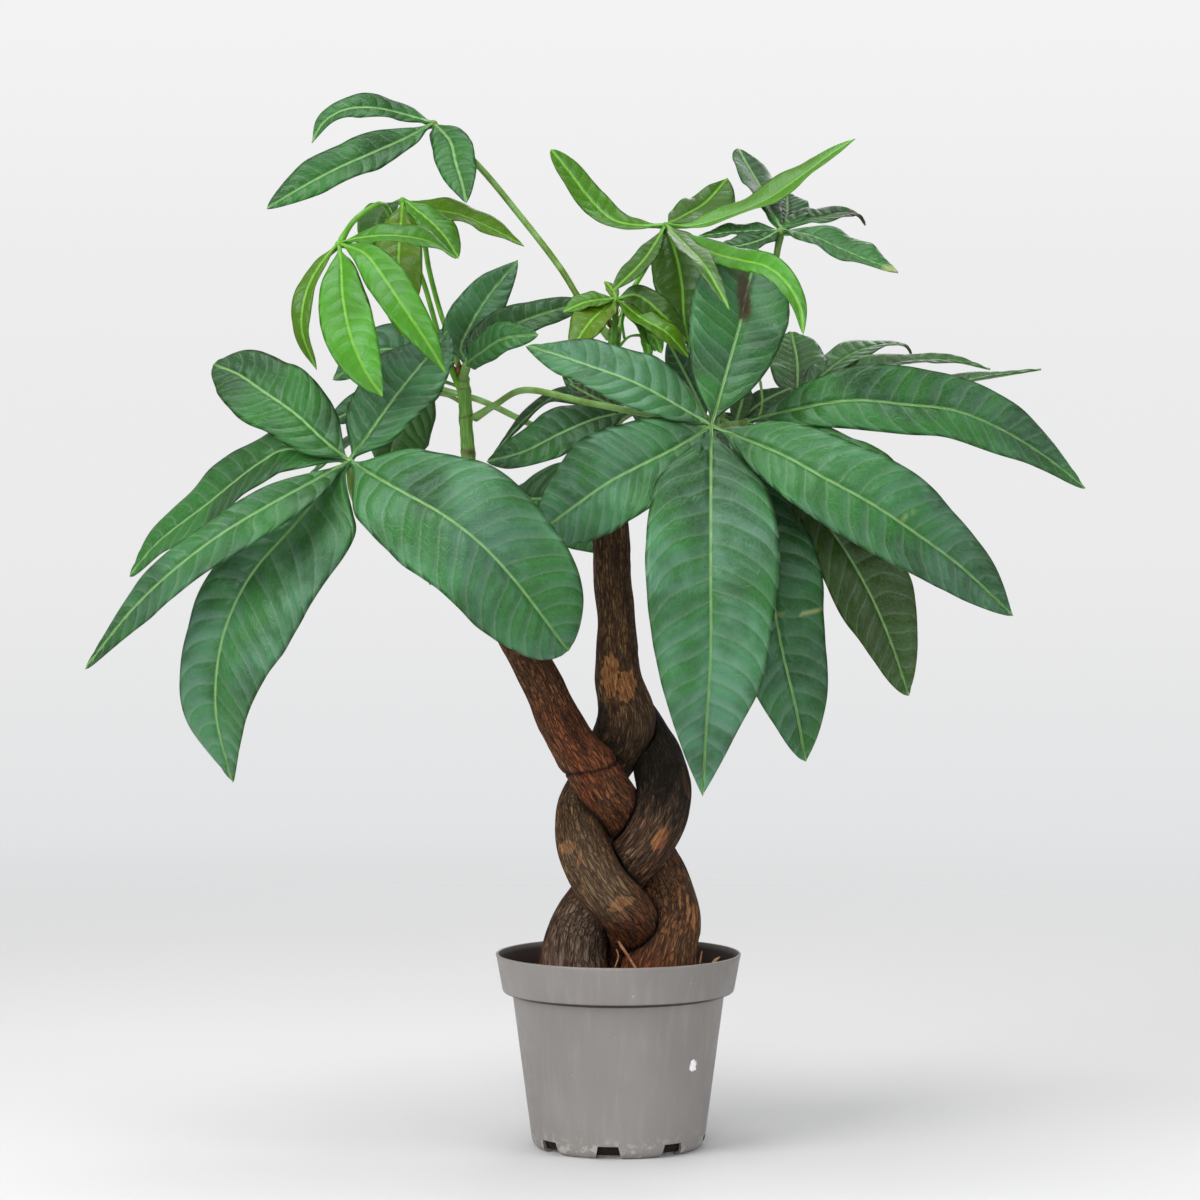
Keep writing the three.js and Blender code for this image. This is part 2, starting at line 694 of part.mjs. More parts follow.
// A leaf: stalk, hub and leaflets in one body
function leaf({ hub, face, stalk, leaflets, tone }) {
  const route = [...stalk, hub];
  const radius = tone === "young" ? 1.4 : 1.7;
  const knots = route.map((point, i) => [...point, i === 0 ? radius * 1.5 : radius]);
  let body = limb(knots, stalkSides, route.length + 3);
  const ball = new THREE.IcosahedronGeometry(radius * 1.9, 0);
  ball.translate(...placed(hub));
  body = body.add(solid(ball));
  leaflets.forEach((one, order) => {
    body = body.add(leaflet(hub, one, face, order));
  });
  return body;
}

for (const one of leaves) {
  const body = leaf(one).subtract(shootGrown[carriers[one.name]]);
  const shine = one.tone === "young" ? 0.35 : 0.42;
  add(one.name, largest(body).simplify(slivers), plain(colours[one.tone], shine));
}

export default plant;
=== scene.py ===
# Potted money tree in a nursery pot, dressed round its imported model.
# Objects are in metres. The tables are in millimetres, and mm turns them into metres.
import math
import random
import bmesh
import bpy
from mathutils import Matrix, Vector, kdtree, noise


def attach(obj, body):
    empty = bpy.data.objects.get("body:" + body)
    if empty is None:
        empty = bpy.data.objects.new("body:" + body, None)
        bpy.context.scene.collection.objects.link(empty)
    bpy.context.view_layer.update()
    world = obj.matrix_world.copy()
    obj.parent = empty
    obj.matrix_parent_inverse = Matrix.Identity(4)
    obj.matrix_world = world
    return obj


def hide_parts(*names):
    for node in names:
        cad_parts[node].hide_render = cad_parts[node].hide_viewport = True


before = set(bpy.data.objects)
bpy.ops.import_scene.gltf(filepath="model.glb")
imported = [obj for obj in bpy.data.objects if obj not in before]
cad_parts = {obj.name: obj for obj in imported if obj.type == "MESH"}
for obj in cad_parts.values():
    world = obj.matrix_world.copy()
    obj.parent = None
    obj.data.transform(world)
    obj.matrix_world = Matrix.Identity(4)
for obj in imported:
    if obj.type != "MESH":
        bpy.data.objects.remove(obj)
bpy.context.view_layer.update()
mm = 0.001
print("frame loaded")

# The camera stands where the photograph was taken from
view = dict(eye=(-9, -2000, 345), aim=(-9, 0, 267.8), lens=123, sensor=36)
eye = Vector(view["eye"]) * mm
camera = bpy.data.objects.new("camera", bpy.data.cameras.new("camera"))
bpy.context.scene.collection.objects.link(camera)
camera.location = eye
camera.rotation_euler = (Vector(view["aim"]) * mm - eye).to_track_quat("-Z", "Y").to_euler()
camera.data.lens = view["lens"]
camera.data.sensor_width = view["sensor"]
bpy.context.scene.camera = camera
print("camera set")


# Shapes

def placed(point):
    # the layout gives a point's x and z as seen in the plane y = 0, and its depth y
    x, y, z = (value * mm for value in point[:3])
    return (Vector((x, 0, z)) - eye) * ((y - eye.y) / -eye.y) + eye


def seenFrom(point):
    # the layout's x and z of a point in space, in millimetres
    seen = (point - eye) * (-eye.y / (point.y - eye.y)) + eye
    return seen.x / mm, seen.z / mm


def smooth(value, low, high):
    share = min(max((value - low) / (high - low), 0), 1)
    return share * share * (3 - 2 * share)


def hermite(b, c, outB, intoC, w):
    square, cube = w * w, w * w * w
    return (b * (2 * cube - 3 * square + 1) + outB * (cube - 2 * square + w)
            + c * (3 * square - 2 * cube) + intoC * (cube - square))


def throughKnots(knots, radii, place):
    # centripetal curve through the knots, and its radius, at a place counted in knots
    i = min(int(place), len(knots) - 2)
    w = place - i
    b, c = knots[i], knots[i + 1]
    a = knots[i - 1] if i > 0 else b * 2 - c
    d = knots[i + 2] if i + 2 < len(knots) else c * 2 - b
    ab, bc, cd = (abs((q - p).length) ** 0.5 for p, q in ((a, b), (b, c), (c, d)))
    outB = ((b - a) / ab - (c - a) / (ab + bc) + (c - b) / bc) * bc
    intoC = ((c - b) / bc - (d - b) / (bc + cd) + (d - c) / cd) * bc
    s, t = radii[i], radii[i + 1]
    r = radii[i - 1] if i > 0 else s * 2 - t
    u = radii[i + 2] if i + 2 < len(radii) else t * 2 - s
    return hermite(b, c, outB, intoC, w), hermite(s, t, (t - r) / 2, (u - s) / 2, w)


def limbPath(layout, rows, firstNormal=(0.2, -1, 0), fine=12):
    # evenly spaced stations along a limb: point, along, normal, side, radius, knot place, distance
    knots = [placed(knot) for knot in layout]
    radii = [knot[3] * mm for knot in layout]
    steps = (len(knots) - 1) * fine
    places = [i / fine for i in range(steps + 1)]
    points = [throughKnots(knots, radii, place)[0] for place in places]
    run = [0.0]
    for before, after in zip(points, points[1:]):
        run.append(run[-1] + (after - before).length)
    stations = []
    j = 0
    for row in range(rows + 1):
        distance = run[-1] * row / rows
        while j < steps - 1 and run[j + 1] < distance:
            j += 1
        share = (distance - run[j]) / (run[j + 1] - run[j])
        place = min(places[j] + share / fine, len(knots) - 1)
        point, radius = throughKnots(knots, radii, place)
        stations.append(dict(point=point, radius=radius, place=place, distance=distance))
    return framed(stations, firstNormal)


def framed(stations, firstNormal):
    # each station carries on the normal of the one before it
    normal = Vector(firstNormal)
    last = len(stations) - 1
    for i, one in enumerate(stations):
        ahead = stations[min(i + 1, last)]["point"] - stations[max(i - 1, 0)]["point"]
        along = ahead.normalized()
        normal = (normal - along * normal.dot(along)).normalized()
        one.update(along=along, normal=normal, side=normal.cross(along))
    return stations


knotStep = 20  # about how far apart two knots of a limb are, in millimetres


def hump(off, width):
    # 1 in the middle, falling away to both sides
    return math.exp(-(off / width) ** 2)


def domed(distance, length, reach):
    # how full a limb is: 1 along it, closing to 0 over this reach at both ends
    fromEnd = min(distance, length - distance) / reach
    return max(1 - max(1 - fromEnd, 0) ** 2, 0) ** 0.5


def outward(at, turn, flat=1.0):
    # the way from a station to its surface, turned round by a share of a full turn
    angle = 2 * math.pi * turn
    return at["side"] * math.cos(angle) + at["normal"] * math.sin(angle) * flat


def straightened(at, turn, radius):
    # the same place on a straight limb, in millimetres
    angle = 2 * math.pi * turn
    return Vector((radius * math.cos(angle), radius * math.sin(angle), at["distance"] / mm))


def rolled(bm, around, rows, place):
    # a grid rolled into a closed form: place puts each vertex, with turn going once round from 0 to 1
    bm.loops.layers.uv.verify()
    grid = bmesh.ops.create_grid(bm, x_segments=around, y_segments=rows, size=0.5, calc_uvs=True)
    for vert in grid["verts"]:
        turn = vert.co.x + 0.5
        row = round((vert.co.y + 0.5) * rows)
        vert.co = place(vert, turn, row)
    bmesh.ops.remove_doubles(bm, verts=grid["verts"], dist=1e-7)


def addLimb(bm, stations, around, rows, prepare=None):
    # a round limb along stations, closed at both ends; prepare marks each vertex
    def place(vert, turn, row):
        at = stations[row]
        if prepare:
            prepare(vert)
        return at["point"] + outward(at, turn) * at["radius"] * (0 if row in (0, rows) else 1)

    rolled(bm, around, rows, place)


def newMarks(bm, names):
    # numbers on the vertices, which the materials read by name
    return {name: bm.verts.layers.float.new(name) for name in names}


def meshObject(bm, name):
    # the bmesh as an object in the scene; it frees the bmesh
    mesh = bpy.data.meshes.new(name)
    bm.to_mesh(mesh)
    bm.free()
    whole = bpy.data.objects.new(name, mesh)
    bpy.context.scene.collection.objects.link(whole)
    return whole


def finished(bm, name, material, replaces=None, smoothFaces=True):
    # a mesh piece that rides with the plant
    bmesh.ops.recalc_face_normals(bm, faces=bm.faces)
    for face in bm.faces:
        face.smooth = smoothFaces
    piece = meshObject(bm, name)
    piece.data.materials.append(material)
    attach(piece, "root")
    if replaces:
        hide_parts(replaces)
    return piece


# Materials, each built in its own node tree. The helpers put their nodes in the tree that bench holds.

bench = dict(tree=None)


def srgb(red, green, blue):
    # a colour as a picture editor shows it, turned linear
    return tuple(((c / 255 + 0.055) / 1.055) ** 2.4 for c in (red, green, blue)) + (1.0,)


def put(kind, inputs={}, **settings):
    # a node with its settings; an input is a value or the socket that feeds it
    tree = bench["tree"]
    node = tree.nodes.new(kind)
    node.location = (220 * (len(tree.nodes) % 9), -260 * (len(tree.nodes) // 9))
    for name, value in settings.items():
        setattr(node, name, value)
    for name, value in inputs.items():
        if isinstance(value, bpy.types.NodeSocket):
            tree.links.new(value, node.inputs[name])
        else:
            node.inputs[name].default_value = value
    return node


def calc(operation, a, b=0.0, c=0.0):
    return put("ShaderNodeMath", {0: a, 1: b, 2: c}, operation=operation).outputs[0]


def times(product, *others):
    for other in others:
        product = calc("MULTIPLY", product, other)
    return product


def vectorCalc(operation, a, b=(0, 0, 0)):
    node = put("ShaderNodeVectorMath", {0: a, 1: b}, operation=operation)
    return node.outputs["Value" if operation in ("LENGTH", "DOT_PRODUCT") else "Vector"]


def parts(vector):
    return put("ShaderNodeSeparateXYZ", {0: vector}).outputs


def joined(x, y, z=0.0):
    return put("ShaderNodeCombineXYZ", {0: x, 1: y, 2: z}).outputs[0]


def here():
    # the object's own coordinates
    return put("ShaderNodeTexCoord").outputs["Object"]


def ease(value, low, high, start=0.0, end=1.0):
    # a smooth step from start to end while value goes from low to high
    inputs = {"Value": value, "From Min": low, "From Max": high, "To Min": start, "To Max": end}
    return put("ShaderNodeMapRange", inputs, interpolation_type="SMOOTHSTEP").outputs["Result"]


def falling(value, low, high):
    return ease(value, low, high, 1.0, 0.0)


def tint(share, base, over, strength=1):
    # one colour over another by a share, which strength thins out
    if strength != 1:
        share = times(share, strength)
    return put("ShaderNodeMix", {0: share, 6: base, 7: over}, data_type="RGBA").outputs[2]


def layered(colour, *layers):
    # tints one after another over a colour: the share of each, its colour and its strength
    for share, *over in layers:
        colour = tint(share, colour, *over)
    return colour


def noisy(vector, scale, detail=3.0, roughness=0.55, warp=0.0):
    inputs = {"Vector": vector, "Scale": scale, "Detail": detail, "Roughness": roughness,
              "Distortion": warp}
    return put("ShaderNodeTexNoise", inputs).outputs["Fac"]


def cellEdges(vector, scale, width):
    # 1 on the edges between irregular cells, 0 from this width on
    cells = put("ShaderNodeTexVoronoi", {"Vector": vector, "Scale": scale}, feature="DISTANCE_TO_EDGE")
    return falling(cells.outputs["Distance"], 0.0, width)


def stretched(vector, scale):
    return put("ShaderNodeMapping", {"Vector": vector, "Scale": scale}).outputs["Vector"]


def reading(name, output="Fac"):
    return put("ShaderNodeAttribute", attribute_name=name).outputs[output]


def newGroup(name, takes):
    # a group's inputs: a number each, or a vector where no value is given
    tree = bpy.data.node_groups.new(name, "ShaderNodeTree")
    for label, value in takes.items():
        kind = "NodeSocketVector" if value is None else "NodeSocketFloat"
        socket = tree.interface.new_socket(name=label, in_out="INPUT", socket_type=kind)
        if value is not None:
            socket.default_value = value
    bench["tree"] = tree
    return put("NodeGroupInput").outputs


def closeGroup(results):
    # ends a group with its outputs, each fed by the socket given for it
    tree = bench["tree"]
    for label in results:
        tree.interface.new_socket(name=label, in_out="OUTPUT", socket_type="NodeSocketFloat")
    out = put("NodeGroupOutput").inputs
    for label, socket in results.items():
        tree.links.new(socket, out[label])
    return tree


def useGroup(group, inputs):
    return put("ShaderNodeGroup", inputs, node_tree=group).outputs


def spots(vector, scale, amount, edge):
    return useGroup(speckle, {"Vector": vector, "Scale": scale, "Amount": amount, "Edge": edge})["Spots"]


def grained(vector, scale, stretch, warp):
    return useGroup(longGrain, {"Vector": vector, "Fibre Scale": scale, "Stretch": stretch, "Warp": warp})


def newMaterial(name, **constants):
    material = bpy.data.materials.new(name)
    material.use_nodes = True
    bench["tree"] = material.node_tree
    shader = material.node_tree.nodes["Principled BSDF"]
    for label, value in constants.items():
        shader.inputs[label.replace("_", " ")].default_value = value
    return material


def connect(material, **sources):
    tree = material.node_tree
    for label, socket in sources.items():
        tree.links.new(socket, tree.nodes["Principled BSDF"].inputs[label.replace("_", " ")])


def covered(material, colour, rough, height, strength, distance):
    # the material, given its colour, roughness and bump
    bump = put("ShaderNodeBump", {"Height": height, "Strength": strength, "Distance": distance})
    connect(material, Base_Color=colour, Roughness=rough, Normal=bump.outputs["Normal"])
    return material


# Effects that several materials share

def speckleGroup():
    # irregular spots: 1 inside a spot, 0 outside
    given = newGroup("speckle", {"Vector": None, "Scale": 100.0, "Amount": 0.4, "Edge": 0.05})
    rough = noisy(given["Vector"], given["Scale"], 4.0, 0.65)
    low = calc("SUBTRACT", 1.0, given["Amount"])
    return closeGroup({"Spots": ease(rough, low, calc("ADD", low, given["Edge"]))})


def longGrainGroup():
    # fibres, cracks and plates that run along a limb, from coordinates on the straightened limb
    given = newGroup("longGrain", {"Vector": None, "Fibre Scale": 900.0, "Stretch": 0.08, "Warp": 0.6})
    warp, scale = given["Warp"], given["Fibre Scale"]
    long = vectorCalc("MULTIPLY", given["Vector"], joined(1.0, 1.0, given["Stretch"]))
    coarse = times(scale, 0.42)
    apart = calc("ABSOLUTE", calc("SUBTRACT", noisy(long, coarse, 2.0, 0.6, warp), 0.5))
    squat = vectorCalc("MULTIPLY", given["Vector"], (1.0, 1.0, 0.3))
    bent = put("ShaderNodeTexNoise", {"Vector": squat, "Scale": 500.0, "Detail": 3.0}).outputs["Color"]
    squat = vectorCalc("ADD", squat, vectorCalc("MULTIPLY", bent, (0.0016, 0.0016, 0.0016)))
    crackle = times(cellEdges(squat, coarse, 0.16), 0.8)
    return closeGroup({
        "Fibres": noisy(long, scale, 5.0, 0.6, warp),
        "Cracks": calc("MAXIMUM", falling(apart, 0.0, 0.04), crackle),
        "Plates": noisy(long, times(scale, 0.16), 3.0, 0.6, warp),
    })


def bladeGroup():
    # what a leaf's own coordinates say: side veins, midrib, swelling between veins, edge, underside, net
    given = newGroup("bladeVeins", {"Vein Width": 0.1})
    spot = parts(put("ShaderNodeUVMap", uv_map="UVMap").outputs["UV"])
    turn, along = spot["X"], spot["Y"]
    stalk = calc("GREATER_THAN", reading("stalk"), 0.5)
    blade = calc("SUBTRACT", 1.0, stalk)
    across = times(calc("ABSOLUTE", calc("SUBTRACT", calc("PINGPONG", turn, 0.5), 0.25)), 4.0)
    phase = reading("vein")
    cell = calc("FRACT", phase)
    nearest = calc("MINIMUM", cell, calc("SUBTRACT", 1.0, cell))
    fade = times(ease(across, 0.7, 1.0, 1.0, 0.15), ease(along, 0.8, 1.0, 1.0, 0.1))
    # band: painted shade just past each side vein; glow: painted sheen just before the next
    band = times(ease(cell, 0.03, 0.09), falling(cell, 0.1, 0.3))
    glow = times(ease(cell, 0.45, 0.92), ease(cell, 0.94, 1.0, 1.0, 0.4))
    ribWidth = calc("MULTIPLY_ADD", along, -0.5, 0.7)
    midrib = falling(calc("DIVIDE", calc("ABSOLUTE", reading("rib")), ribWidth), 0.55, 1.25)
    netSpot = joined(times(reading("rib"), 0.22), times(phase, 2.3))
    return closeGroup({
        "Side Veins": times(falling(nearest, 0.0, given["Vein Width"]), fade, blade),
        "Crease Shade": times(band, fade, blade),
        "Sheen": times(glow, fade, blade),
        "Midrib": times(midrib, blade),
        "Swell": calc("POWER", times(nearest, 2.0), 0.6),
        "Edge": times(ease(across, 0.965, 1.0), blade),
        "Underside": times(calc("GREATER_THAN", turn, 0.5), blade),
        "Net": times(cellEdges(netSpot, 1.6, 0.09), blade),
        "Stalk": stalk,
    })


speckle = speckleGroup()
longGrain = longGrainGroup()
bladeVeins = bladeGroup()
print("shared effects built")


# Pot

pot = dict(
    height=95, rim=60, bandFoot=56.6, band=18.7, ledge=1.6, bodyTop=51.8, foot=42.6, corner=5,
    wall=1.3, lip=0.65, steps=160, sharpAngle=38,
    notches=8, notchTurn=-7, notchWidth=13, notchHeight=6.5, notchReach=35.5, notchDepth=12, notchTaper=1.5,
    # inside: soil dust and painted shade on the pot's inner wall
    colour=srgb(130, 126, 123), shade=srgb(119, 115, 112), inside=srgb(44, 27, 20), dust=srgb(172, 168, 163),
    chip=srgb(238, 236, 240), chipAt=(36.1, 39.3), chipDepth=-31, chipSize=2.6,
)


def arcPoints(centre, radius, start, end, steps):
    # points on an arc in the pot's section, as radius and height
    angles = [math.radians(start + (end - start) * i / steps) for i in range(steps + 1)]
    return [(centre[0] + radius * math.cos(a), centre[1] + radius * math.sin(a)) for a in angles]


def potSection():
    # half the section, up the outside and down the inside
    height, rim, lip, wall, corner = (pot[size] for size in ("height", "rim", "lip", "wall", "corner"))
    foot, bodyTop, bandFoot = pot["foot"], pot["bodyTop"], pot["bandFoot"]
    ledgeTop = height - pot["band"]
    bodyEnd = ledgeTop - pot["ledge"]
    outside = [(0, 0.6), (foot - corner - 6, 0.6), (foot - corner - 4, 0)]
    outside += arcPoints((foot - corner, corner), corner, -90, -4, 6)
    outside += [(foot + (bodyTop - foot) * s, corner + (bodyEnd - corner) * s)
                for s in (0.25, 0.5, 0.75, 0.985)]
    outside += [(bodyTop + 0.35, bodyEnd + 0.15), (bandFoot - 0.7, ledgeTop - 0.1)]
    outside += [(bandFoot, ledgeTop + 0.5), (bandFoot + 0.25, ledgeTop + 1.4)]
    outside += [(bandFoot + (rim - bandFoot) * s, ledgeTop + pot["band"] * s) for s in (0.35, 0.65, 0.9)]
    outside += arcPoints((rim - lip, height - lip), lip, 0, 180, 8)
    inside = [(rim - wall - 1.0, height - 4), (bandFoot - wall + 1.6, height - 10)]
    inside += [(bandFoot - wall, ledgeTop + 0.4), (bodyTop - wall, bodyEnd - 0.4)]
    inside += [(foot - wall, corner + 0.5), (foot - wall - corner * 0.3, corner * 0.3 + 0.7)]
    inside += [(foot - corner, wall), (0, wall)]
    return [(r * mm, z * mm) for r, z in outside + inside]


def spun(bm, section, steps):
    # a section on the axis turned once round
    verts = [bm.verts.new((r, 0, z)) for r, z in section]
    edges = [bm.edges.new(pair) for pair in zip(verts, verts[1:])]
    bmesh.ops.spin(bm, geom=verts + edges, cent=(0, 0, 0), axis=(0, 0, 1), angle=2 * math.pi, steps=steps,
                   use_merge=True)
    bmesh.ops.remove_doubles(bm, verts=bm.verts, dist=1e-7)


def potNotches():
    # the blocks that cut the drain notches through the corner of the foot
    bm = bmesh.new()
    half, deep = pot["notchWidth"] / 2, pot["notchDepth"]
    for i in range(pot["notches"]):
        block = bmesh.ops.create_cube(bm, size=1)["verts"]
        for vert in block:
            x, y, z = vert.co
            spread = half if z < 0 else half - pot["notchTaper"]
            level = -1 if z < 0 else pot["notchHeight"]
            vert.co = Vector((x * 2 * spread, y * deep - pot["notchReach"] - deep / 2, level)) * mm
        turn = Matrix.Rotation(math.radians(pot["notchTurn"] + i * 360 / pot["notches"]), 3, "Z")
        bmesh.ops.rotate(bm, cent=(0, 0, 0), matrix=turn, verts=block)
    bmesh.ops.recalc_face_normals(bm, faces=bm.faces)
    return meshObject(bm, "notches")


def potMaterial():
    material = newMaterial("pot plastic", IOR=1.46, Coat_Weight=0.08, Coat_Roughness=0.25)
    place = here()
    level = parts(place)["Z"]
    facing = vectorCalc("DOT_PRODUCT", put("ShaderNodeNewGeometry").outputs["Normal"], place)
    streaks = noisy(stretched(place, (1, 1, 0.06)), 240.0)
    footDust = times(spots(place, 260.0, 0.5, 0.12), falling(level, 0.002, 0.014))
    # the inner wall tinted towards the inside colour, less at the rim's top: soil dust and painted shade
    insideDustAndShade = times(ease(facing, -0.002, -0.012), ease(level, 0.0915, 0.0945, 1.0, 0.3))
    chipSpot = placed((pot["chipAt"][0], pot["chipDepth"], pot["chipAt"][1]))
    off = vectorCalc("MULTIPLY", vectorCalc("SUBTRACT", place, tuple(chipSpot)), (0.8, 0.8, 0.75))
    away = calc("MULTIPLY_ADD", noisy(place, 700.0), 0.0032, vectorCalc("LENGTH", off))
    chip = falling(away, pot["chipSize"] * mm + 0.0010, pot["chipSize"] * mm + 0.0014)
    colour = layered(
        pot["shade"],
        (ease(noisy(place, 16.0, 2.0), 0.3, 0.7), pot["colour"]),
        (ease(streaks, 0.45, 0.75), pot["dust"], 0.1),
        (spots(place, 130.0, 0.3, 0.03), pot["dust"], 0.5),
        (footDust, pot["dust"], 0.7),
        (insideDustAndShade, pot["inside"]),
        (chip, pot["chip"]),
    )
    rough = ease(noisy(place, 90.0), 0.3, 0.7, 0.42, 0.55)
    height = calc("MULTIPLY_ADD", noisy(place, 900.0, 2.0), 0.3, times(streaks, 0.35))
    height = calc("MULTIPLY_ADD", chip, 1.2, height)
    return covered(material, colour, rough, height, 0.35, 0.0003)


def makePot():
    bm = bmesh.new()
    spun(bm, potSection(), pot["steps"])
    piece = finished(bm, "pot_fine", potMaterial(), "pot")
    cutter = potNotches()
    cut = piece.modifiers.new("notches", "BOOLEAN")
    cut.object = cutter
    cut.solver = "EXACT"
    bpy.context.view_layer.update()
    whole = bpy.data.meshes.new_from_object(piece.evaluated_get(bpy.context.evaluated_depsgraph_get()))
    piece.modifiers.remove(cut)
    piece.data = whole
    bpy.data.objects.remove(cutter)
    whole.shade_smooth()
    whole.set_sharp_from_angle(angle=math.radians(pot["sharpAngle"]))


makePot()
print("pot built")


# Soil

soil = dict(
    top=85, dome=1.6, reach=54, flatFrom=44, steps=112, rings=34, lumps=1.5, crumbs=0.5,
    # lowShade: the painted shade on the soil low in the pot
    dark=srgb(50, 30, 22), brown=srgb(104, 60, 42), pale=srgb(158, 104, 74), lowShade=srgb(20, 15, 12),
)


def soilHeight(x, y):
    # the lumpy surface, in metres
    r = math.hypot(x, y)
    base = soil["top"] + soil["dome"] * (1 - (r / (soil["reach"] * mm)) ** 2)
    lumps = noise.fractal(Vector((x, y, 0)) * 130, 0.8, 2.1, 4) * soil["lumps"]
    crumbs = noise.noise(Vector((x, y, 3)) * 520) * soil["crumbs"]
    edge = smooth(r / mm, soil["flatFrom"], soil["reach"])
    return (base + (lumps + crumbs) * (1 - 0.75 * edge)) * mm


def soilSection():
    # half the section, from the middle of the floor up the pot's wall and back over the top
    foot, corner, wall, top = pot["foot"], pot["corner"], pot["wall"], soil["top"]
    clear = wall + 0.4
    shoulder = pot["height"] - pot["band"]
    side = [(0, wall + 0.3), (foot - corner - 0.3, wall + 0.3)]
    side += [(foot - clear - corner * 0.3, corner * 0.3 + 1), (foot - clear, corner + 0.8)]
    side += [(pot["bodyTop"] - clear, shoulder - pot["ledge"] - 0.1)]
    band = pot["bandFoot"] - clear
    side += [(band, shoulder + 0.9), (band + 1, top - 1.2)]
    reach = band + 0.6
    side += [(reach * (1 - i / soil["rings"]), top) for i in range(soil["rings"] + 1)]
    return [(r * mm, z * mm) for r, z in side]


def soilMaterial():
    material = newMaterial("potting soil", IOR=1.4)
    place = here()
    cloud = noisy(place, 190.0, 5.0, 0.7)
    colour = layered(
        soil["dark"],
        (ease(cloud, 0.35, 0.7), soil["brown"]),
        (spots(place, 620.0, 0.4, 0.05), soil["pale"], 0.7),
        # painted shade: the soil goes near-black low in the pot, where it shows through the notches
        (falling(parts(place)["Z"], 0.008, 0.03), soil["lowShade"]),
    )
    rough = ease(cloud, 0.3, 0.7, 0.98, 0.86)
    return covered(material, colour, rough, noisy(place, 800.0, 5.0), 0.9, 0.0012)


def makeSoil():
    bm = bmesh.new()
    spun(bm, soilSection(), soil["steps"])
    for vert in bm.verts:
        if vert.co.z > (soil["top"] - 0.1) * mm:
            vert.co.z = soilHeight(vert.co.x, vert.co.y)
    finished(bm, "soil_fine", soilMaterial(), "soil")


makeSoil()
print("soil built")


# Loose bits on the soil

bits = dict(
    chips=620, chipReach=52, chipSizes=[(1.0, 4.2), (0.7, 2.2), (0.35, 1.0)], chipJitter=0.22,
    chipLeans=(0.45, 0.3), straws=90, strawReach=49, strawEdge=51, strawLength=(3, 8),
    strawThickness=(0.16, 0.34),
    seed=11,
    feet=[(-22, 0, 17.5), (19, -4, 18.5), (2, 19, 12.5)],  # where the strands stand: x, y and radius
    roots=[
        [(-1, -13, 104, 0.7), (1, -17, 99, 0.75), (5, -20, 93, 0.7), (9, -24, 86.4, 0.6)],
        [(-1, -14, 97, 0.35), (0, -18, 93, 0.4), (-2, -22, 87, 0.35)],
        [(37, -8, 85, 0.6), (37.5, -8, 92, 0.5), (36, -9, 99, 0.35)],
        [(39.5, -10, 85, 0.55), (40, -10, 90, 0.5), (41, -11, 96, 0.3)],
        [(34, -13, 86, 0.5), (38, -14, 88, 0.5), (43, -13, 87.5, 0.35)],
    ],
    sprigs=[((50, -6, 93), (46, -10, 86)), ((52.5, -8, 90), (47, -12, 86))],  # the tip and foot of each
    dark=srgb(46, 33, 26), brown=srgb(108, 62, 42), pale=srgb(150, 100, 70), straw=srgb(158, 112, 82),
    green=srgb(104, 132, 60),
)


def bitMaterial(name, low, high):
    material = newMaterial(name, IOR=1.4)
    place = here()
    fine = noisy(place, 1500.0)
    colour = tint(ease(noisy(place, 260.0), 0.36, 0.64), low, high)
    return covered(material, colour, ease(fine, 0.3, 0.7, 0.75, 0.95), fine, 0.5, 0.0004)


def openSpot(draw, reach):
    # a place on the soil that no strand stands on, in millimetres
    while True:
        angle, r = draw.uniform(0, 2 * math.pi), reach * draw.random() ** 0.5
        x, y = r * math.cos(angle), r * math.sin(angle)
        if all(math.hypot(x - fx, y - fy) > size for fx, fy, size in bits["feet"]):
            return x, y


def makeChips():
    draw = random.Random(bits["seed"])
    jitter = bits["chipJitter"]
    bm = bmesh.new()
    for i in range(bits["chips"]):
        x, y = (value * mm for value in openSpot(draw, bits["chipReach"]))
        size = [draw.uniform(*span) for span in bits["chipSizes"]]
        block = bmesh.ops.create_cube(bm, size=1)["verts"]
        for vert in block:
            vert.co = Vector([share * side for share, side in zip(vert.co, size)]) * mm
            vert.co += Vector([draw.uniform(-jitter, jitter) for k in range(3)]) * mm
        turn = Matrix.Rotation(draw.uniform(0, math.pi), 3, "Z")
        for lean, axis in zip(bits["chipLeans"], "XY"):
            turn = turn @ Matrix.Rotation(draw.gauss(0, lean), 3, axis)
        bmesh.ops.rotate(bm, cent=(0, 0, 0), matrix=turn, verts=block)
        bmesh.ops.translate(bm, vec=(x, y, soilHeight(x, y) + 0.25 * mm), verts=block)
    material = bitMaterial("bark chips", bits["dark"], bits["brown"])
    finished(bm, "soil_chips", material, smoothFaces=False)


def addRoot(bm, knots, around=8, rows=16):
    addLimb(bm, limbPath(knots, rows, (0.3, -0.2, 1)), around, rows)


def makeStraws():
    draw = random.Random(bits["seed"] + 1)
    bm = bmesh.new()
    for i in range(bits["straws"]):
        x, y = openSpot(draw, bits["strawReach"])
        heading, long = draw.uniform(0, 2 * math.pi), draw.uniform(*bits["strawLength"])
        thick = draw.uniform(*bits["strawThickness"])
        knots = []
        for s in (-0.5, 0, 0.5):
            px = x + math.cos(heading) * long * s + draw.uniform(-0.5, 0.5)
            py = y + math.sin(heading) * long * s + draw.uniform(-0.5, 0.5)
            inside = min(1, bits["strawEdge"] / max(math.hypot(px, py), mm))
            px, py = px * inside, py * inside
            height = soilHeight(px * mm, py * mm) / mm + 0.5 + draw.uniform(-0.2, 0.9)
            seenX, seenZ = seenFrom(Vector((px, py, height)) * mm)
            knots.append((seenX, py, seenZ, thick))
        addRoot(bm, knots, 5, 4)
    for knots in bits["roots"]:
        addRoot(bm, knots)
    finished(bm, "soil_straws", bitMaterial("straw and roots", bits["brown"], bits["straw"]))


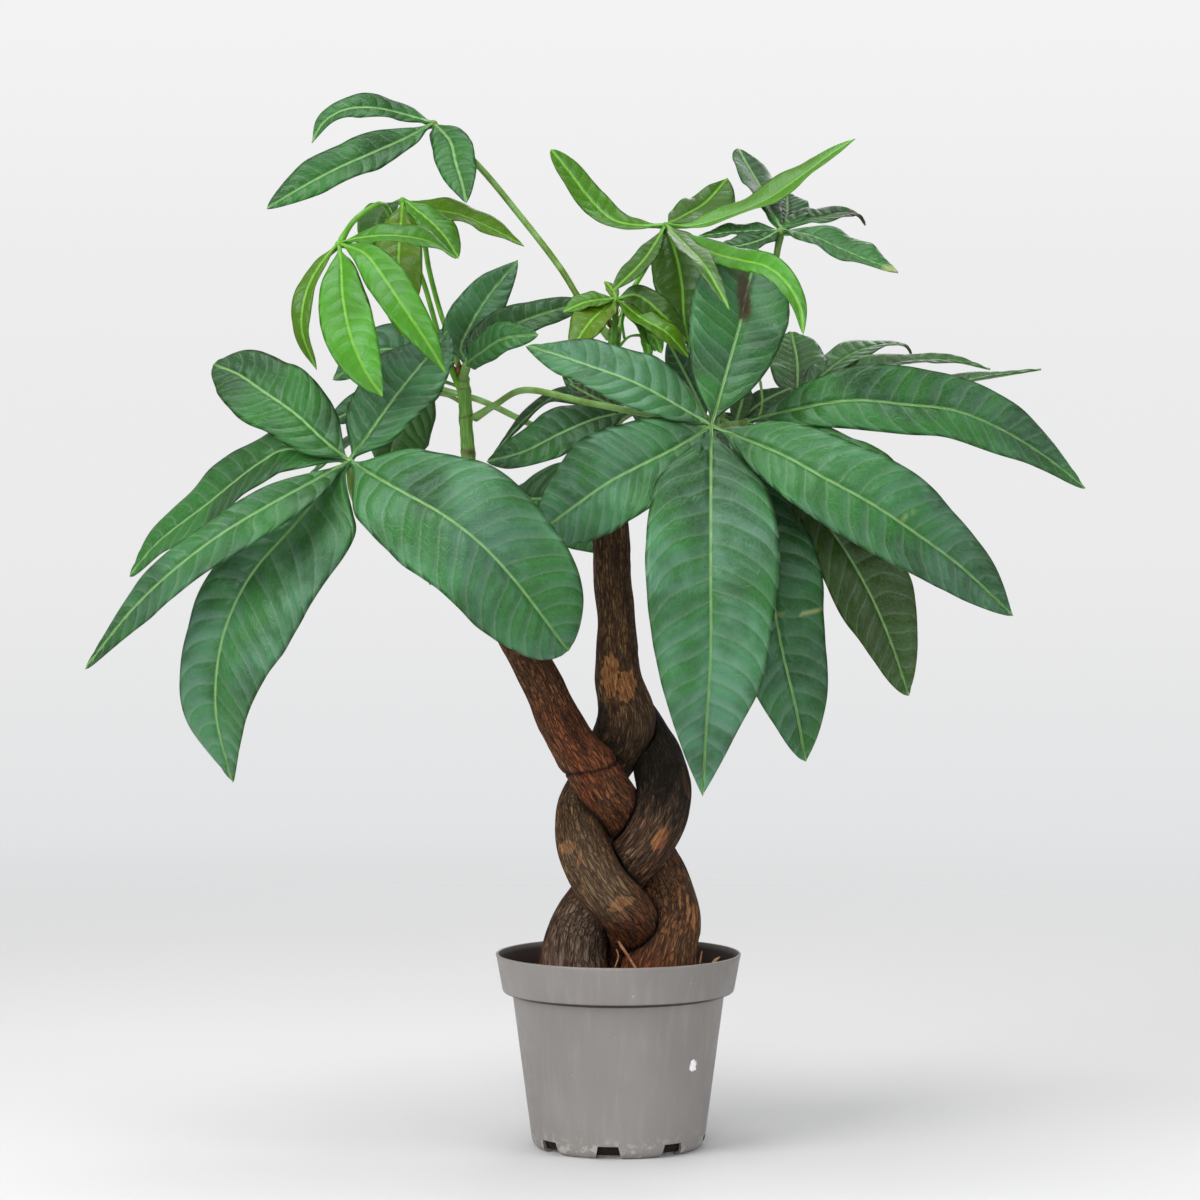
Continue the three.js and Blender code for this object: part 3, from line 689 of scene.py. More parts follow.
def makeSprigs():
    bm = bmesh.new()
    for tip, foot in bits["sprigs"]:
        x, y, z = ((a + b) / 2 for a, b in zip(tip, foot))
        addRoot(bm, [(*foot, 0.5), (x - 1, y, z + 1, 0.9), (*tip, 0.3)], 8, 10)
    finished(bm, "soil_sprigs", bitMaterial("seedling green", bits["green"], bits["straw"]))


makeChips()
makeStraws()
makeSprigs()
print("loose bits built")


# Braided trunk

trunkForm = dict(
    around=156, rows=300,
    gap=0.35,  # what is left free between strands that press together
    fissure=0.7, fibre=0.18, lumps=0.9, dome=5,
    knob=1.3, knobRings=0.35,
    grainRadius=12, ringWidth=0.75,
    # shade: how far the painted shade between strands reaches
    shade=4.5,  # how far from a neighbour the bark darkens
)

# knots: x, depth, z and radius. tone: knot place, rust, dark and grey. knobs: x, z and size.
# scars and dark patches: x, z, half width, half height, lean in degrees and strength.

strands = dict(
    middle=dict(
        seed=3.1,
        knots=[(-5, 2, 316, 8), (-4, 2, 305, 9.2), (-3, 2, 282, 9.2), (-1, 2, 256, 9.6), (0, 2, 230, 11.5),
               (4, 4, 208, 14.5), (-7, 12, 186, 13), (-18, 7, 165, 12), (-17, -10, 147, 13),
               (-7, -19, 127, 13.5), (6, -11, 111, 13), (7, 7, 101, 12), (2, 19, 89, 12), (1, 20, 66, 12),
               (1, 20, 42, 11)],
        pressedBy=[], rings=[],
        tone=[(0, 0.1, 0.15, 0), (4, 0.2, 0.1, 0), (5.5, 0.1, 0.7, 0), (7, 0.2, 0.1, 0.7),
              (9, 0.4, 0.05, 0.7), (10, 0.8, 0.2, 0), (14, 0.3, 0.4, 0)],
        scars=[(-4, 231, 4.5, 11, 0, 0.72), (4, 226, 5, 8, 0, 0.85), (-25, 147, 4.6, 3.3, 10, 1),
               (1, 119, 6.5, 3.2, 25, 0.75), (-19, 141, 1.2, 6, -12, 0.7), (-23, 166, 1.0, 4, 0, 0.5),
               (-17, 126, 1.1, 5, -10, 0.5), (-14, 160, 1.0, 5, -15, 0.45)],
        darkPatches=[(-9, 209, 4.5, 9, 0, 0.9), (5, 196, 5, 9, -10, 0.6)], knobs=[(6, 114, 7)],
    ),
    right=dict(
        seed=17.7,
        knots=[(-2, 26, 246, 7.5), (-1, 26, 236, 8.5), (3, 23, 220, 10), (12, 17, 204, 11.5),
               (20, 8, 187, 13), (22, -3, 169, 13.4), (15, -12, 150, 13), (2, -4, 136, 13),
               (-11, 8, 121, 13.5), (-19, 6, 106, 15), (-22, 1, 94, 16.5), (-22, 0, 85, 17),
               (-22, 0, 66, 16.5), (-22, 0, 42, 16)],
        pressedBy=["middle"], rings=[],
        # the dark tone and dark patches high on the right strand are painted shadow
        tone=[(0, 0, 0.9, 0), (4.4, 0, 0.95, 0), (5.4, 0.1, 0.6, 0), (6, 0.4, 0.15, 0), (7, 0.5, 0.2, 0),
              (9, 0.3, 0.05, 0.8), (10.4, 0.4, 0.0, 0.9), (11, 1, 0.1, 0.2), (13, 1, 0.1, 0)],
        scars=[(20, 151, 3.0, 6.5, -38, 0.95), (33, 178, 1.4, 8, 12, 0.85), (28, 164, 1, 6, 10, 0.4)],
        darkPatches=[(19, 192, 11, 24, 8, 1), (24, 170, 6, 16, 12, 0.6)], knobs=[],
    ),
    left=dict(
        seed=29.3,
        knots=[(-60, -6, 277, 8.5), (-54, -5, 262, 9.6), (-46, -5, 244, 9.8), (-35, -7, 222, 10),
               (-26, -9, 204, 11), (-14, -8, 186, 12), (-1, -2, 167, 13), (11, 8, 149, 13.5),
               (21, 10, 130, 14), (25, 4, 112, 15.5), (22, -3, 97, 17), (19, -4, 85, 18), (18, -2, 66, 18),
               (18, -2, 42, 17)],
        pressedBy=["middle", "right"], rings=[dict(place=5.0, depth=0.75, lean=(0.75, 0, 0.66))],
        tone=[(0, 0.75, 0.1, 0), (2.2, 0.45, 0.1, 0.2), (4, 0.8, 0.02, 0), (5, 0.9, 0, 0),
              (6.2, 0.8, 0.15, 0), (7.2, 0.4, 0.5, 0), (8.5, 0.3, 0.15, 0.3), (10, 0.5, 0, 0.1),
              (10.8, 1, 0.1, 0), (13, 1, 0.1, 0)],
        scars=[(34, 118, 0.9, 9, 2, 0.7), (30, 122, 0.8, 8, 0, 0.6), (37, 112, 1.0, 8, 0, 0.7),
               (26, 116, 0.7, 7, 0, 0.4), (-15, 188, 9, 6, -25, 0.32)],
        darkPatches=[(-22, 205, 3, 14, 30, 0.5), (6, 158, 8, 4, -30, 0.4)], knobs=[],
    ),
)

barkLooks = dict(
    middle=dict(
        dark=srgb(44, 32, 20), body=srgb(108, 84, 58), pale=srgb(172, 138, 96), rust=srgb(130, 68, 40),
        tan=srgb(186, 138, 86), grey=srgb(118, 102, 80), fibres=1250,
    ),
    right=dict(
        dark=srgb(34, 26, 16), body=srgb(104, 84, 64), pale=srgb(164, 138, 110), rust=srgb(124, 68, 44),
        tan=srgb(176, 124, 78), grey=srgb(124, 106, 92), fibres=1200,
    ),
    left=dict(
        dark=srgb(46, 30, 18), body=srgb(112, 82, 54), pale=srgb(176, 134, 84), rust=srgb(136, 74, 46),
        tan=srgb(184, 134, 82), grey=srgb(118, 96, 74), fibres=1200,
    ),
)


def followed(table, place):
    # values given at some knots, read in between
    for (a, *before), (b, *after) in zip(table, table[1:]):
        if place <= b:
            share = smooth(place, a, b)
            return [p + (q - p) * share for p, q in zip(before, after)]
    return list(table[-1][1:])


def centreTree(stations):
    tree = kdtree.KDTree(len(stations))
    for i, one in enumerate(stations):
        tree.insert(one["point"], i)
    tree.balance()
    return tree, stations


def clearOf(point, others):
    # the distance from a point to the nearest of the other strands' surfaces
    nearest = 1.0
    for tree, stations in others:
        spot, i, away = tree.find(point)
        nearest = min(nearest, away - stations[i]["radius"])
    return nearest


def heldBack(centre, out, reach, pressers):
    # how far a surface may reach from its centre before it comes too near to the strands that press on it
    gap = trunkForm["gap"] * mm
    if not pressers or clearOf(centre + out * reach, pressers) >= gap:
        return reach
    low, high = 0.0, reach
    for halving in range(9):
        half = (low + high) / 2
        if clearOf(centre + out * half, pressers) < gap:
            high = half
        else:
            low = half
    return low


def barkRelief(grain, seed):
    # the surface's height in millimetres, from coordinates on the straightened limb in millimetres
    x, y, z = grain
    crack = noise.noise(Vector((x / 3.1, y / 3.1, z / 24 + seed)))
    bend = noise.noise(Vector((x / 7, y / 7, z / 9 + seed + 40)))
    thin = noise.noise(Vector((x / 1.3, y / 1.3, z / 11 + bend + seed)))
    lump = noise.noise(Vector((x / 15, y / 15, z / 17 + seed)))
    fissure = hump(crack + 0.22 * bend, 0.1)
    relief = trunkForm["lumps"] * lump + trunkForm["fibre"] * thin
    return relief - trunkForm["fissure"] * fissure * (0.6 + bend)


def scarShare(point, scars, raggedness):
    # how much of the bark has come off at a point, by the place where it is seen
    x, z = seenFrom(point)
    share = 0.0
    for scarX, scarZ, wide, high, lean, strength in scars:
        turn = math.radians(lean)
        dx, dz = x - scarX, z - scarZ
        u = (dx * math.cos(turn) + dz * math.sin(turn)) / wide
        v = (dz * math.cos(turn) - dx * math.sin(turn)) / high
        share = max(share, strength * (1 - smooth(math.hypot(u, v) + raggedness, 0.75, 1.2)))
    return share


def makeStrand(name, strand, paths):
    bm = bmesh.new()
    marks = newMarks(bm, ("tan", "rust", "dark", "grey", "deep", "crack"))
    grainMark = bm.verts.layers.float_vector.new("grain")
    stations = paths[name][1]
    pressers = [paths[other] for other in strand["pressedBy"]]
    neighbours = [path for other, path in paths.items() if other != name]
    length = stations[-1]["distance"]
    seed, rows = strand["seed"], trunkForm["rows"]

    def place(vert, turn, row):
        at = stations[row]
        centre, out = at["point"], outward(at, turn)
        grain = straightened(at, turn, trunkForm["grainRadius"])
        relief = barkRelief(grain, seed)
        endings = domed(at["distance"], length, trunkForm["dome"] * mm)
        surface = centre + out * (at["radius"] * endings)
        ring = 0.0
        for one in strand["rings"]:
            off = (at["place"] - one["place"]) * knotStep - 4 * out.dot(Vector(one["lean"]))
            off += 0.5 * noise.noise(grain / 4)
            ring = max(ring, one["depth"] * hump(off, trunkForm["ringWidth"]))
            relief += 1.2 * hump(off + 5, 5)
        bare, darkPatch = 0.0, 0.0
        if out.dot((eye - centre).normalized()) > 0.1:
            ragged = 0.35 * noise.noise(grain / 2.2 + Vector((0, 0, seed)))
            bare = scarShare(surface, strand["scars"], ragged)
            darkPatch = scarShare(surface, strand["darkPatches"], ragged)
            x, z = seenFrom(surface)
            for knobX, knobZ, size in strand["knobs"]:
                far = math.hypot(x - knobX, z - knobZ) + 0.6 * noise.noise(grain / 3)
                bulge = hump(far, size)
                relief += trunkForm["knob"] * bulge + trunkForm["knobRings"] * math.cos(far * 2.6) * bulge
        relief = relief * (1 - 0.5 * bare) - 0.25 * bare - ring
        reach = at["radius"] * endings + relief * mm * min(endings * 1.5, 1)
        point = centre + out * heldBack(centre, out, reach, pressers)
        rust, dark, grey = followed(strand["tone"], at["place"])
        # grey shows only on faces turned to the front, so the strands' sides stay darker and redder: the
        # bark's grey patches with painted shade towards the sides
        vert[marks["grey"]] = grey * smooth(-out.y, 0.35, 0.85)
        vert[marks["tan"]] = bare
        vert[marks["rust"]] = rust
        # the dark tone and dark patches; on the right strand they are painted shadow
        vert[marks["dark"]] = max(dark, darkPatch)
        # painted shade in the crevices where the strands come near each other
        vert[marks["deep"]] = 1 - smooth(clearOf(point, neighbours) / mm, 0.2, trunkForm["shade"])
        # the ring's groove, painted dark as shade
        vert[marks["crack"]] = ring / trunkForm["ringWidth"]
        vert[grainMark] = grain * mm
        return point

    rolled(bm, trunkForm["around"], rows, place)
    material = barkMaterial("bark " + name, barkLooks[name])
    finished(bm, "trunk_%s_fine" % name, material, "trunk_" + name)


def barkMaterial(name, look):
    material = newMaterial(name, IOR=1.42, Specular_IOR_Level=0.22)
    grain = reading("grain", "Vector")
    bark = grained(grain, look["fibres"], 0.15, 0.5)
    fibres, cracks = bark["Fibres"], bark["Cracks"]
    wide = noisy(grain, 55.0)
    patchy = ease(noisy(stretched(grain, (1, 1, 0.4)), 130.0, 4.0), 0.3, 0.6, 0.35, 1.0)
    bare = ease(calc("MULTIPLY_ADD", fibres, 0.7, calc("ADD", reading("tan"), -0.35)), 0.35, 0.62)
    # painted shade in the ring's groove and in the crevices between strands, over the dark tone and dark
    # patches
    shade = calc("MAXIMUM", reading("crack"), times(reading("deep"), 0.8))
    shade = calc("MAXIMUM", shade, times(reading("dark"), 0.9))
    colour = layered(
        look["dark"],
        (ease(bark["Plates"], 0.34, 0.66), look["body"]),
        (ease(wide, 0.42, 0.62, 0.0, 0.75), look["body"]),
        (times(ease(fibres, 0.48, 0.68), ease(wide, 0.35, 0.65, 0.25, 0.95)), look["pale"]),
        (times(reading("rust"), patchy), look["rust"]),
        (ease(fibres, 0.36, 0.52, 0.85, 0.0), look["dark"]),
        (bare, tint(ease(fibres, 0.35, 0.65), look["rust"], look["tan"]), 0.9),
        (times(reading("grey"), ease(fibres, 0.36, 0.56, 0.25, 0.9)), look["grey"]),
        (times(cracks, calc("MULTIPLY_ADD", bare, -0.7, 0.8)), look["dark"]),
        (shade, tuple(0.28 * value for value in look["dark"][:3]) + (1,)),
    )
    height = calc("MULTIPLY_ADD", cracks, -0.8, fibres)
    return covered(material, colour, ease(fibres, 0.3, 0.7, 0.62, 0.84), height, 1.0, 0.0012)


strandPaths = {name: centreTree(limbPath(strand["knots"], trunkForm["rows"]))
               for name, strand in strands.items()}
for name, strand in strands.items():
    makeStrand(name, strand, strandPaths)
print("trunk built")


# Green shoots

shoots = dict(
    left=dict(
        knots=[(-59, -6, 274, 4.4), (-67, -8, 300, 4), (-72, -8, 325, 3.4), (-74, -8, 350, 3.2),
               (-75, -10, 368, 3.2), (-76, -12, 379, 2.6)],
        joints=[0.25, 1.35, 2.6, 3.35, 4.2, 4.7],
    ),
    middle=dict(
        knots=[(-5, 2, 313, 4.6), (-4, 3, 335, 4), (-3, 4, 360, 3.6), (-2, -2, 385, 3.3),
               (-2, -8, 402, 2.8)],
        joints=[0.4, 1.5, 2.3, 3.1, 3.7],
    ),
    right=dict(
        knots=[(-2, 26, 243, 4.2), (-1, 27, 272, 4), (0, 28, 300, 3.8), (6, 28, 325, 3.6),
               (18, 30, 345, 3.4), (27, 34, 362, 2.8)],
        joints=[0.5, 1.6, 2.5, 3.3, 4.1, 4.7],
    ),
)
shootForm = dict(
    around=36, rows=150, dome=3, grainRadius=4,
    green=srgb(72, 124, 40), light=srgb(124, 164, 74), brown=srgb(96, 82, 44), scar=srgb(70, 56, 36),
)


def shootMaterial():
    material = newMaterial("green shoot", IOR=1.45, Subsurface_Weight=0.1, Subsurface_Scale=0.001,
                           Subsurface_Radius=(0.6, 1.0, 0.25))
    grain = reading("grain", "Vector")
    bark = grained(grain, 1500.0, 0.07, 0.3)
    colour = layered(
        shootForm["green"],
        (ease(bark["Fibres"], 0.35, 0.7), shootForm["light"]),
        (spots(grain, 700.0, 0.36, 0.05), shootForm["brown"], 0.55),
        (times(reading("woody"), ease(bark["Plates"], 0.3, 0.6, 0.4, 1.0)), shootForm["brown"]),
        (reading("scar"), shootForm["scar"]),
    )
    rough = ease(noisy(here(), 200.0), 0.3, 0.7, 0.4, 0.6)
    return covered(material, colour, rough, bark["Fibres"], 0.4, 0.0005)


def makeShoot(name, shoot, material):
    bm = bmesh.new()
    marks = newMarks(bm, ("scar", "woody"))
    grainMark = bm.verts.layers.float_vector.new("grain")
    rows = shootForm["rows"]
    stations = limbPath(shoot["knots"], rows)
    length = stations[-1]["distance"]

    def place(vert, turn, row):
        at = stations[row]
        angle = 2 * math.pi * turn
        grain = straightened(at, turn, shootForm["grainRadius"])
        endings = domed(at["distance"], length, shootForm["dome"] * mm)
        swollen, scar = 0.0, 0.0
        for i, joint in enumerate(shoot["joints"]):
            off = (at["place"] - joint) * knotStep + 0.7 * math.cos(angle + i * 2.1)
            swollen += 0.55 * hump(off, 2.6)
            facing = 0.5 + 0.5 * math.cos(angle + i * 2.3)
            ring = hump(off - 0.8, 0.55) * 0.8
            scar = max(scar, ring, facing ** 4 * hump(off, 1.4))
        rough = 0.12 * noise.noise(grain / 1.6) + 0.2 * noise.noise(grain / 6)
        vert[marks["scar"]] = scar
        vert[marks["woody"]] = 1 - smooth(at["distance"] / mm, 2, 30)
        vert[grainMark] = grain * mm
        reach = at["radius"] + (swollen + rough - 0.3 * scar) * mm
        return at["point"] + outward(at, turn) * reach * endings

    rolled(bm, shootForm["around"], rows, place)
    finished(bm, "shoot_%s_fine" % name, material, "shoot_" + name)


shootSurface = shootMaterial()
for name, shoot in shoots.items():
    makeShoot(name, shoot, shootSurface)
print("shoots built")


# Small scales at the tops of the shoots

buds = dict(
    left=dict(foot=(-76, -12, 376),
              tips=[(-81, -16, 385), (-77, -20, 387), (-72, -18, 385), (-82, -9, 381)]),
    middle=dict(foot=(-2, -8, 400), tips=[(-5, -12, 408), (2, -12, 407), (1, -3, 410)]),
    right=dict(foot=(27, 34, 360), tips=[(24, 30, 368), (29, 28, 369)]),
)
scaleForm = dict(
    rows=14, bow=1.6, least=0.25, width=1.5, flatness=0.32,
    brown=srgb(96, 52, 32), pale=srgb(128, 96, 54),
)


def scaleMaterial():
    material = newMaterial("dry scale", IOR=1.4)
    lines = noisy(stretched(here(), (1, 1, 0.25)), 900.0)
    colour = tint(ease(lines, 0.35, 0.7), scaleForm["brown"], scaleForm["pale"])
    return covered(material, colour, ease(lines, 0.3, 0.7, 0.6, 0.8), lines, 0.5, 0.0004)


def addScale(bm, foot, end, turned):
    out = (end - foot).cross(Vector((0.2 + turned, 0.5, 0.3))).normalized()
    rows = scaleForm["rows"]
    stations = []
    for row in range(rows + 1):
        t = row / rows
        point = foot.lerp(end, t) + out * math.sin(math.pi * t) * scaleForm["bow"] * mm
        belly = math.sin(math.pi * min(t * 1.15 + 0.12, 1)) ** 1.3
        radius = (scaleForm["least"] + scaleForm["width"] * belly) * mm if 0 < row < rows else 0
        stations.append(dict(point=point, radius=radius))
    framed(stations, (0.3, -1, 0.2))

    def place(vert, turn, row):
        at = stations[row]
        return at["point"] + outward(at, turn, scaleForm["flatness"]) * at["radius"]

    rolled(bm, 14, rows, place)


def makeScales():
    bm = bmesh.new()
    for bud in buds.values():
        for i, tip in enumerate(bud["tips"]):
            addScale(bm, placed(bud["foot"]), placed(tip), i * 0.3)
    finished(bm, "shoot_scales", scaleMaterial())


makeScales()
print("scales built")


# Leaves

leafForm = dict(
    thickness=0.45, fold=0.1, wave=0.05, waves=2.6, fret=0.006, frets=6.7, narrowBase=0.2,
    channel=0.22,  # how deep the midrib lies on the upper side
    ribHeight=0.85, ribWidth=0.8,  # the midrib on the lower side, at the foot
    veinHeight=0.16,  # the side veins on the lower side
    neck=1.6, neckLength=7,  # the thicker foot of each leaflet
    footWidth=1.2,  # half the least width at a leaflet's foot
    fullWidth=38,  # a narrower blade swells less
    fewestPairs=6, pairsPerMetre=62,  # of side veins
    stalkAround=14, stalkStep=2.2, collar=1.45,
)

leafLooks = dict(
    # paintedSheen and sheen: colours of painted sheen; shade: the painted shade beside the side veins
    mature=dict(
        deep=srgb(8, 68, 20), fresh=srgb(44, 126, 42), paintedSheen=srgb(110, 178, 144), sheen=srgb(200, 238, 232),
        warm=srgb(62, 82, 18), ripe=srgb(6, 60, 20), shade=srgb(6, 52, 18), vein=srgb(186, 224, 176),
        rib=srgb(168, 222, 140), under=srgb(58, 86, 26), edge=srgb(40, 48, 22), stalk=srgb(84, 112, 34),
        sideVeins=0.95, creaseShade=0.95, roughness=0.34, specular=0.42, ior=1.4, bump=1.0, radius=1.6,
        swell=1.15,
    ),
    young=dict(
        deep=srgb(18, 104, 2), fresh=srgb(44, 148, 4), paintedSheen=srgb(96, 178, 84), sheen=srgb(160, 226, 130),
        warm=srgb(84, 112, 2), ripe=srgb(4, 52, 20), shade=srgb(10, 74, 2), vein=srgb(128, 200, 60),
        rib=srgb(140, 210, 76), under=srgb(60, 108, 4), edge=srgb(72, 100, 16), stalk=srgb(74, 130, 22),
        sideVeins=0.3, creaseShade=0.4, roughness=0.3, specular=0.45, ior=1.4, bump=0.6, radius=1.3, swell=0.3,
    ),
)
dead = srgb(66, 54, 36)
torn = srgb(150, 160, 104)

# path: a leaflet's rib from the hub to its tip. fullest: the share of the rib at which it is widest.
# drawn: how sharp its tip is. lean: how much wider one half is, at the foot and at the tip.
# brown and torn: spots given like the scars of the trunk.
# paintedSheen: how much painted sheen a leaflet's upper side has

leaves = {}
leaves["leaf_front_right"] = dict(
    tone="mature", face=(0.1, -0.93, 0.35), hub=(45, -92, 352),
    stalk=[(-71, -8, 356), (-60, -22, 363), (-47, -35, 370), (-15, -62, 364), (16, -82, 358)],
    leaflets=[
        dict(path=[(49, -86, 366), (54, -74, 384), (59, -60, 402), (63, -40, 421), (68, -22, 438)],
             width=47, fullest=0.58, drawn=0.6, lean=(0.06, 0.06), paintedSheen=0.35,
             brown=[(61, 415.6, 3.4, 13.7, 4, 0.95), (57.6, 429.8, 4.4, 5.9, 0, 0.5)]),
        dict(path=[(26, -92, 364), (7, -92, 374), (-15, -84, 382), (-30, -76, 387), (-45, -66, 391)],
             width=33, face=(-0.1, -0.7, 0.7), fullest=0.45, drawn=0.9, paintedSheen=0.5),
        dict(path=[(26, -100, 341), (10, -98, 333), (-5, -90, 325), (-22, -78, 313), (-38, -64, 301)],
             width=46, fullest=0.52, drawn=0.7, paintedSheen=0.55),
        dict(path=[(45, -112, 313), (45, -120, 279), (45, -116, 241), (43, -106, 207), (41, -96, 172)],
             width=62, fullest=0.38, drawn=1, paintedSheen=0.85),
        dict(path=[(79, -104, 339), (101, -114, 327), (123, -116, 315), (144, -112, 301), (167, -102, 284),
             (192, -88, 260)], width=44, fullest=0.48, paintedSheen=0.5, torn=[(140.5, 308.3, 4.4, 0.6, 35, 0.4)]),
    ],
)
leaves["leaf_right"] = dict(
    tone="mature", face=(0.25, -0.85, 0.45), hub=(62, -48, 354),
    stalk=[(18, 30, 345), (36, 6, 348), (53, -24, 353)],
    leaflets=[
        dict(path=[(84, -56, 360), (113, -60, 365), (140, -56, 363), (164, -48, 360), (186, -38, 351),
             (207, -28, 338), (227, -20, 322)], width=37, fullest=0.48, paintedSheen=0.25),
        dict(path=[(112, -80, 329), (158, -52, 294)], width=38),
        dict(path=[(65, -66, 317), (73, -78, 280), (80, -78, 243), (87, -70, 213), (91, -62, 189)],
             width=48, fullest=0.48, drawn=0.75, paintedSheen=0.35, torn=[(88.8, 261.5, 13.2, 0.6, 6, 0.8)]),
        dict(path=[(84, -56, 326), (107, -60, 297), (122, -54, 272), (134, -44, 244), (141, -36, 221)],
             width=43, fullest=0.58, drawn=0.8, warm=0.75),
    ],
)
leaves["leaf_right_back"] = dict(
    tone="mature", face=(0.1, -0.35, 0.93), hub=(87, 58, 365),
    stalk=[(26, 34, 360), (46, 50, 364), (72, 58, 367)],
    leaflets=[
        dict(path=[(87, 96, 384), (84, 124, 398)], width=30, face=(0, -0.7, 0.7), drawn=0.7, warm=0.3),
        dict(path=[(104, 84, 381), (117, 104, 389), (131, 122, 392), (140, 132, 391), (143, 132, 386)],
             width=21, face=(0, -0.3, 0.95), warm=0.2, brown=[(142.9, 389.3, 4.4, 5.4, 0, 0.8)]),
        dict(path=[(112, 74, 377), (138, 84, 383), (162, 90, 384), (181, 88, 380)], width=26,
             face=(0, -0.2, 0.98), drawn=1, warm=0.4),
        dict(path=[(147, 52, 371), (206, 40, 380)], width=24, face=(0, -0.2, 0.98), drawn=1, warm=0.4),
    ],
)
leaves["leaf_upper_right"] = dict(
    tone="mature", face=(0.05, -0.45, 0.9), hub=(79, 10, 447),
    stalk=[(22, 32, 355), (38, 26, 371), (60, 24, 392), (73, 14, 419)],
    leaflets=[
        dict(path=[(74, 30, 458), (68, 60, 470), (62, 84, 480), (58, 96, 487)], width=20,
             face=(0.3, -0.7, 0.6), fullest=0.62, drawn=0.6, ripe=0.3),
        dict(path=[(82, 36, 455), (82, 70, 465)], width=22, face=(0, -0.6, 0.8), drawn=0.6),
        dict(path=[(88, 24, 452), (100, 40, 454), (109, 52, 456), (116, 58, 455), (120, 62, 450)], width=18,
             face=(0.2, -0.3, 0.93), warm=0.2, brown=[(116.6, 453.7, 5.4, 3.9, 0, 0.9)]),
        dict(path=[(93, 0, 445), (107, -8, 439), (121, -16, 433), (136, -22, 427)], width=26, drawn=0.9,
             torn=[(132.2, 427.8, 5.4, 3.4, 0, 0.8)]),
        dict(path=[(63, 14, 447), (50, 16, 446), (38, 18, 444)], width=17, ripe=0.5),
        dict(path=[(67, 2, 442), (59, -2, 440), (49, -8, 439)], width=17, ripe=0.5),
    ],
)
leaves["leaf_top"] = dict(
    tone="young", face=(0, -0.35, 0.93), hub=(23, 20, 450),
    stalk=[(-2, 0, 389), (4, 16, 413), (15, 22, 433)],
    leaflets=[
        dict(path=[(11, 24, 450), (-3, 34, 453), (-14, 40, 463), (-24, 44, 476), (-33, 46, 487)], width=15,
             face=(0.4, -0.7, 0.6), fullest=0.6, drawn=0.6, warm=0.2, ripe=0.5),
        dict(path=[(37, 22, 450), (54, 24, 455), (71, 28, 462), (89, 34, 474), (104, 40, 485),
             (115, 44, 492)], width=22, face=(-0.3, -0.4, 0.86), warm=0.35),
        dict(path=[(32, 36, 455), (42, 54, 461), (53, 72, 473)], width=25, face=(0, -0.7, 0.7),
             fullest=0.48, drawn=0.95, lean=(-0.35, -0.35), ripe=0.9),
        dict(path=[(35, -6, 442), (48, -34, 436), (60, -56, 433), (72, -68, 430), (81, -78, 423),
             (88, -86, 411), (90, -90, 397)], width=15, face=(0.1, -1, 0.15), fullest=0.55, drawn=0.8,
             paintedSheen=0.3),
        dict(path=[(33, -24, 440), (42, -62, 430), (54, -86, 409)], width=14, face=(0.2, -0.8, 0.5),
             drawn=0.9, ripe=0.85, paintedSheen=0.5),
        dict(path=[(28, 8, 436), (31, 0, 421), (32, -8, 405), (35, -14, 391)], width=27,
             face=(-0.2, -0.9, 0.4), fullest=0.42, ripe=1),
        dict(path=[(12, -16, 433), (-3, -44, 418)], width=12, face=(0, -0.6, 0.8), fullest=0.6, ripe=0.85),
    ],
)
leaves["leaf_top_left"] = dict(
    tone="mature", face=(-0.2, -0.3, 0.93), hub=(-90, 10, 499),
    stalk=[(-3, -5, 394), (-18, -2, 413), (-28, 0, 429), (-48, 5, 455), (-69, 8, 480)],
    leaflets=[
        dict(path=[(-105, 10, 504), (-120, 6, 507), (-133, 4, 506), (-143, 2, 500), (-149, 0, 490)],
             width=17, face=(-0.1, -0.62, 0.78), fullest=0.45, drawn=1),
        dict(path=[(-104, 0, 492), (-120, -10, 485), (-136, -20, 478), (-153, -28, 469), (-171, -34, 458)],
             width=24, face=(-0.2, -0.88, 0.43), fullest=0.52, drawn=0.75),
        dict(path=[(-82, -2, 491), (-79, -14, 480), (-76, -26, 470), (-74, -36, 461)], width=20,
             face=(0.1, -0.9, 0.43), fullest=0.45),
        dict(path=[(-82, 60, 483), (-77, 100, 471)], width=15, face=(0, -0.1, 1)),
    ],
)
leaves["leaf_left_hanging"] = dict(
    tone="young", face=(-0.1, -0.8, 0.6), hub=(-136, -58, 441),
    stalk=[(-75, -10, 366), (-85, -14, 389), (-97, -4, 428), (-107, -4, 445), (-113, -24, 459),
           (-118, -42, 460), (-129, -54, 452)],
    leaflets=[
        dict(path=[(-145, -62, 431), (-152, -68, 417), (-154, -68, 400), (-147, -60, 380)], width=12,
             face=(-0.6, -0.7, 0.3), warm=0.45, ripe=0.3),
        dict(path=[(-135, -72, 430), (-134, -86, 414), (-130, -98, 395), (-123, -104, 379),
             (-115, -106, 367)], width=25, fullest=0.58, paintedSheen=0.4),
        dict(path=[(-123, -74, 436), (-113, -86, 423), (-103, -94, 408), (-93, -96, 393), (-84, -94, 378)],
             width=19, drawn=1, paintedSheen=0.45),
        dict(path=[(-125, -62, 444), (-109, -64, 445), (-92, -58, 442), (-79, -50, 434)], width=18,
             face=(0.1, -0.6, 0.8), fullest=0.55, paintedSheen=0.2),
    ],
)
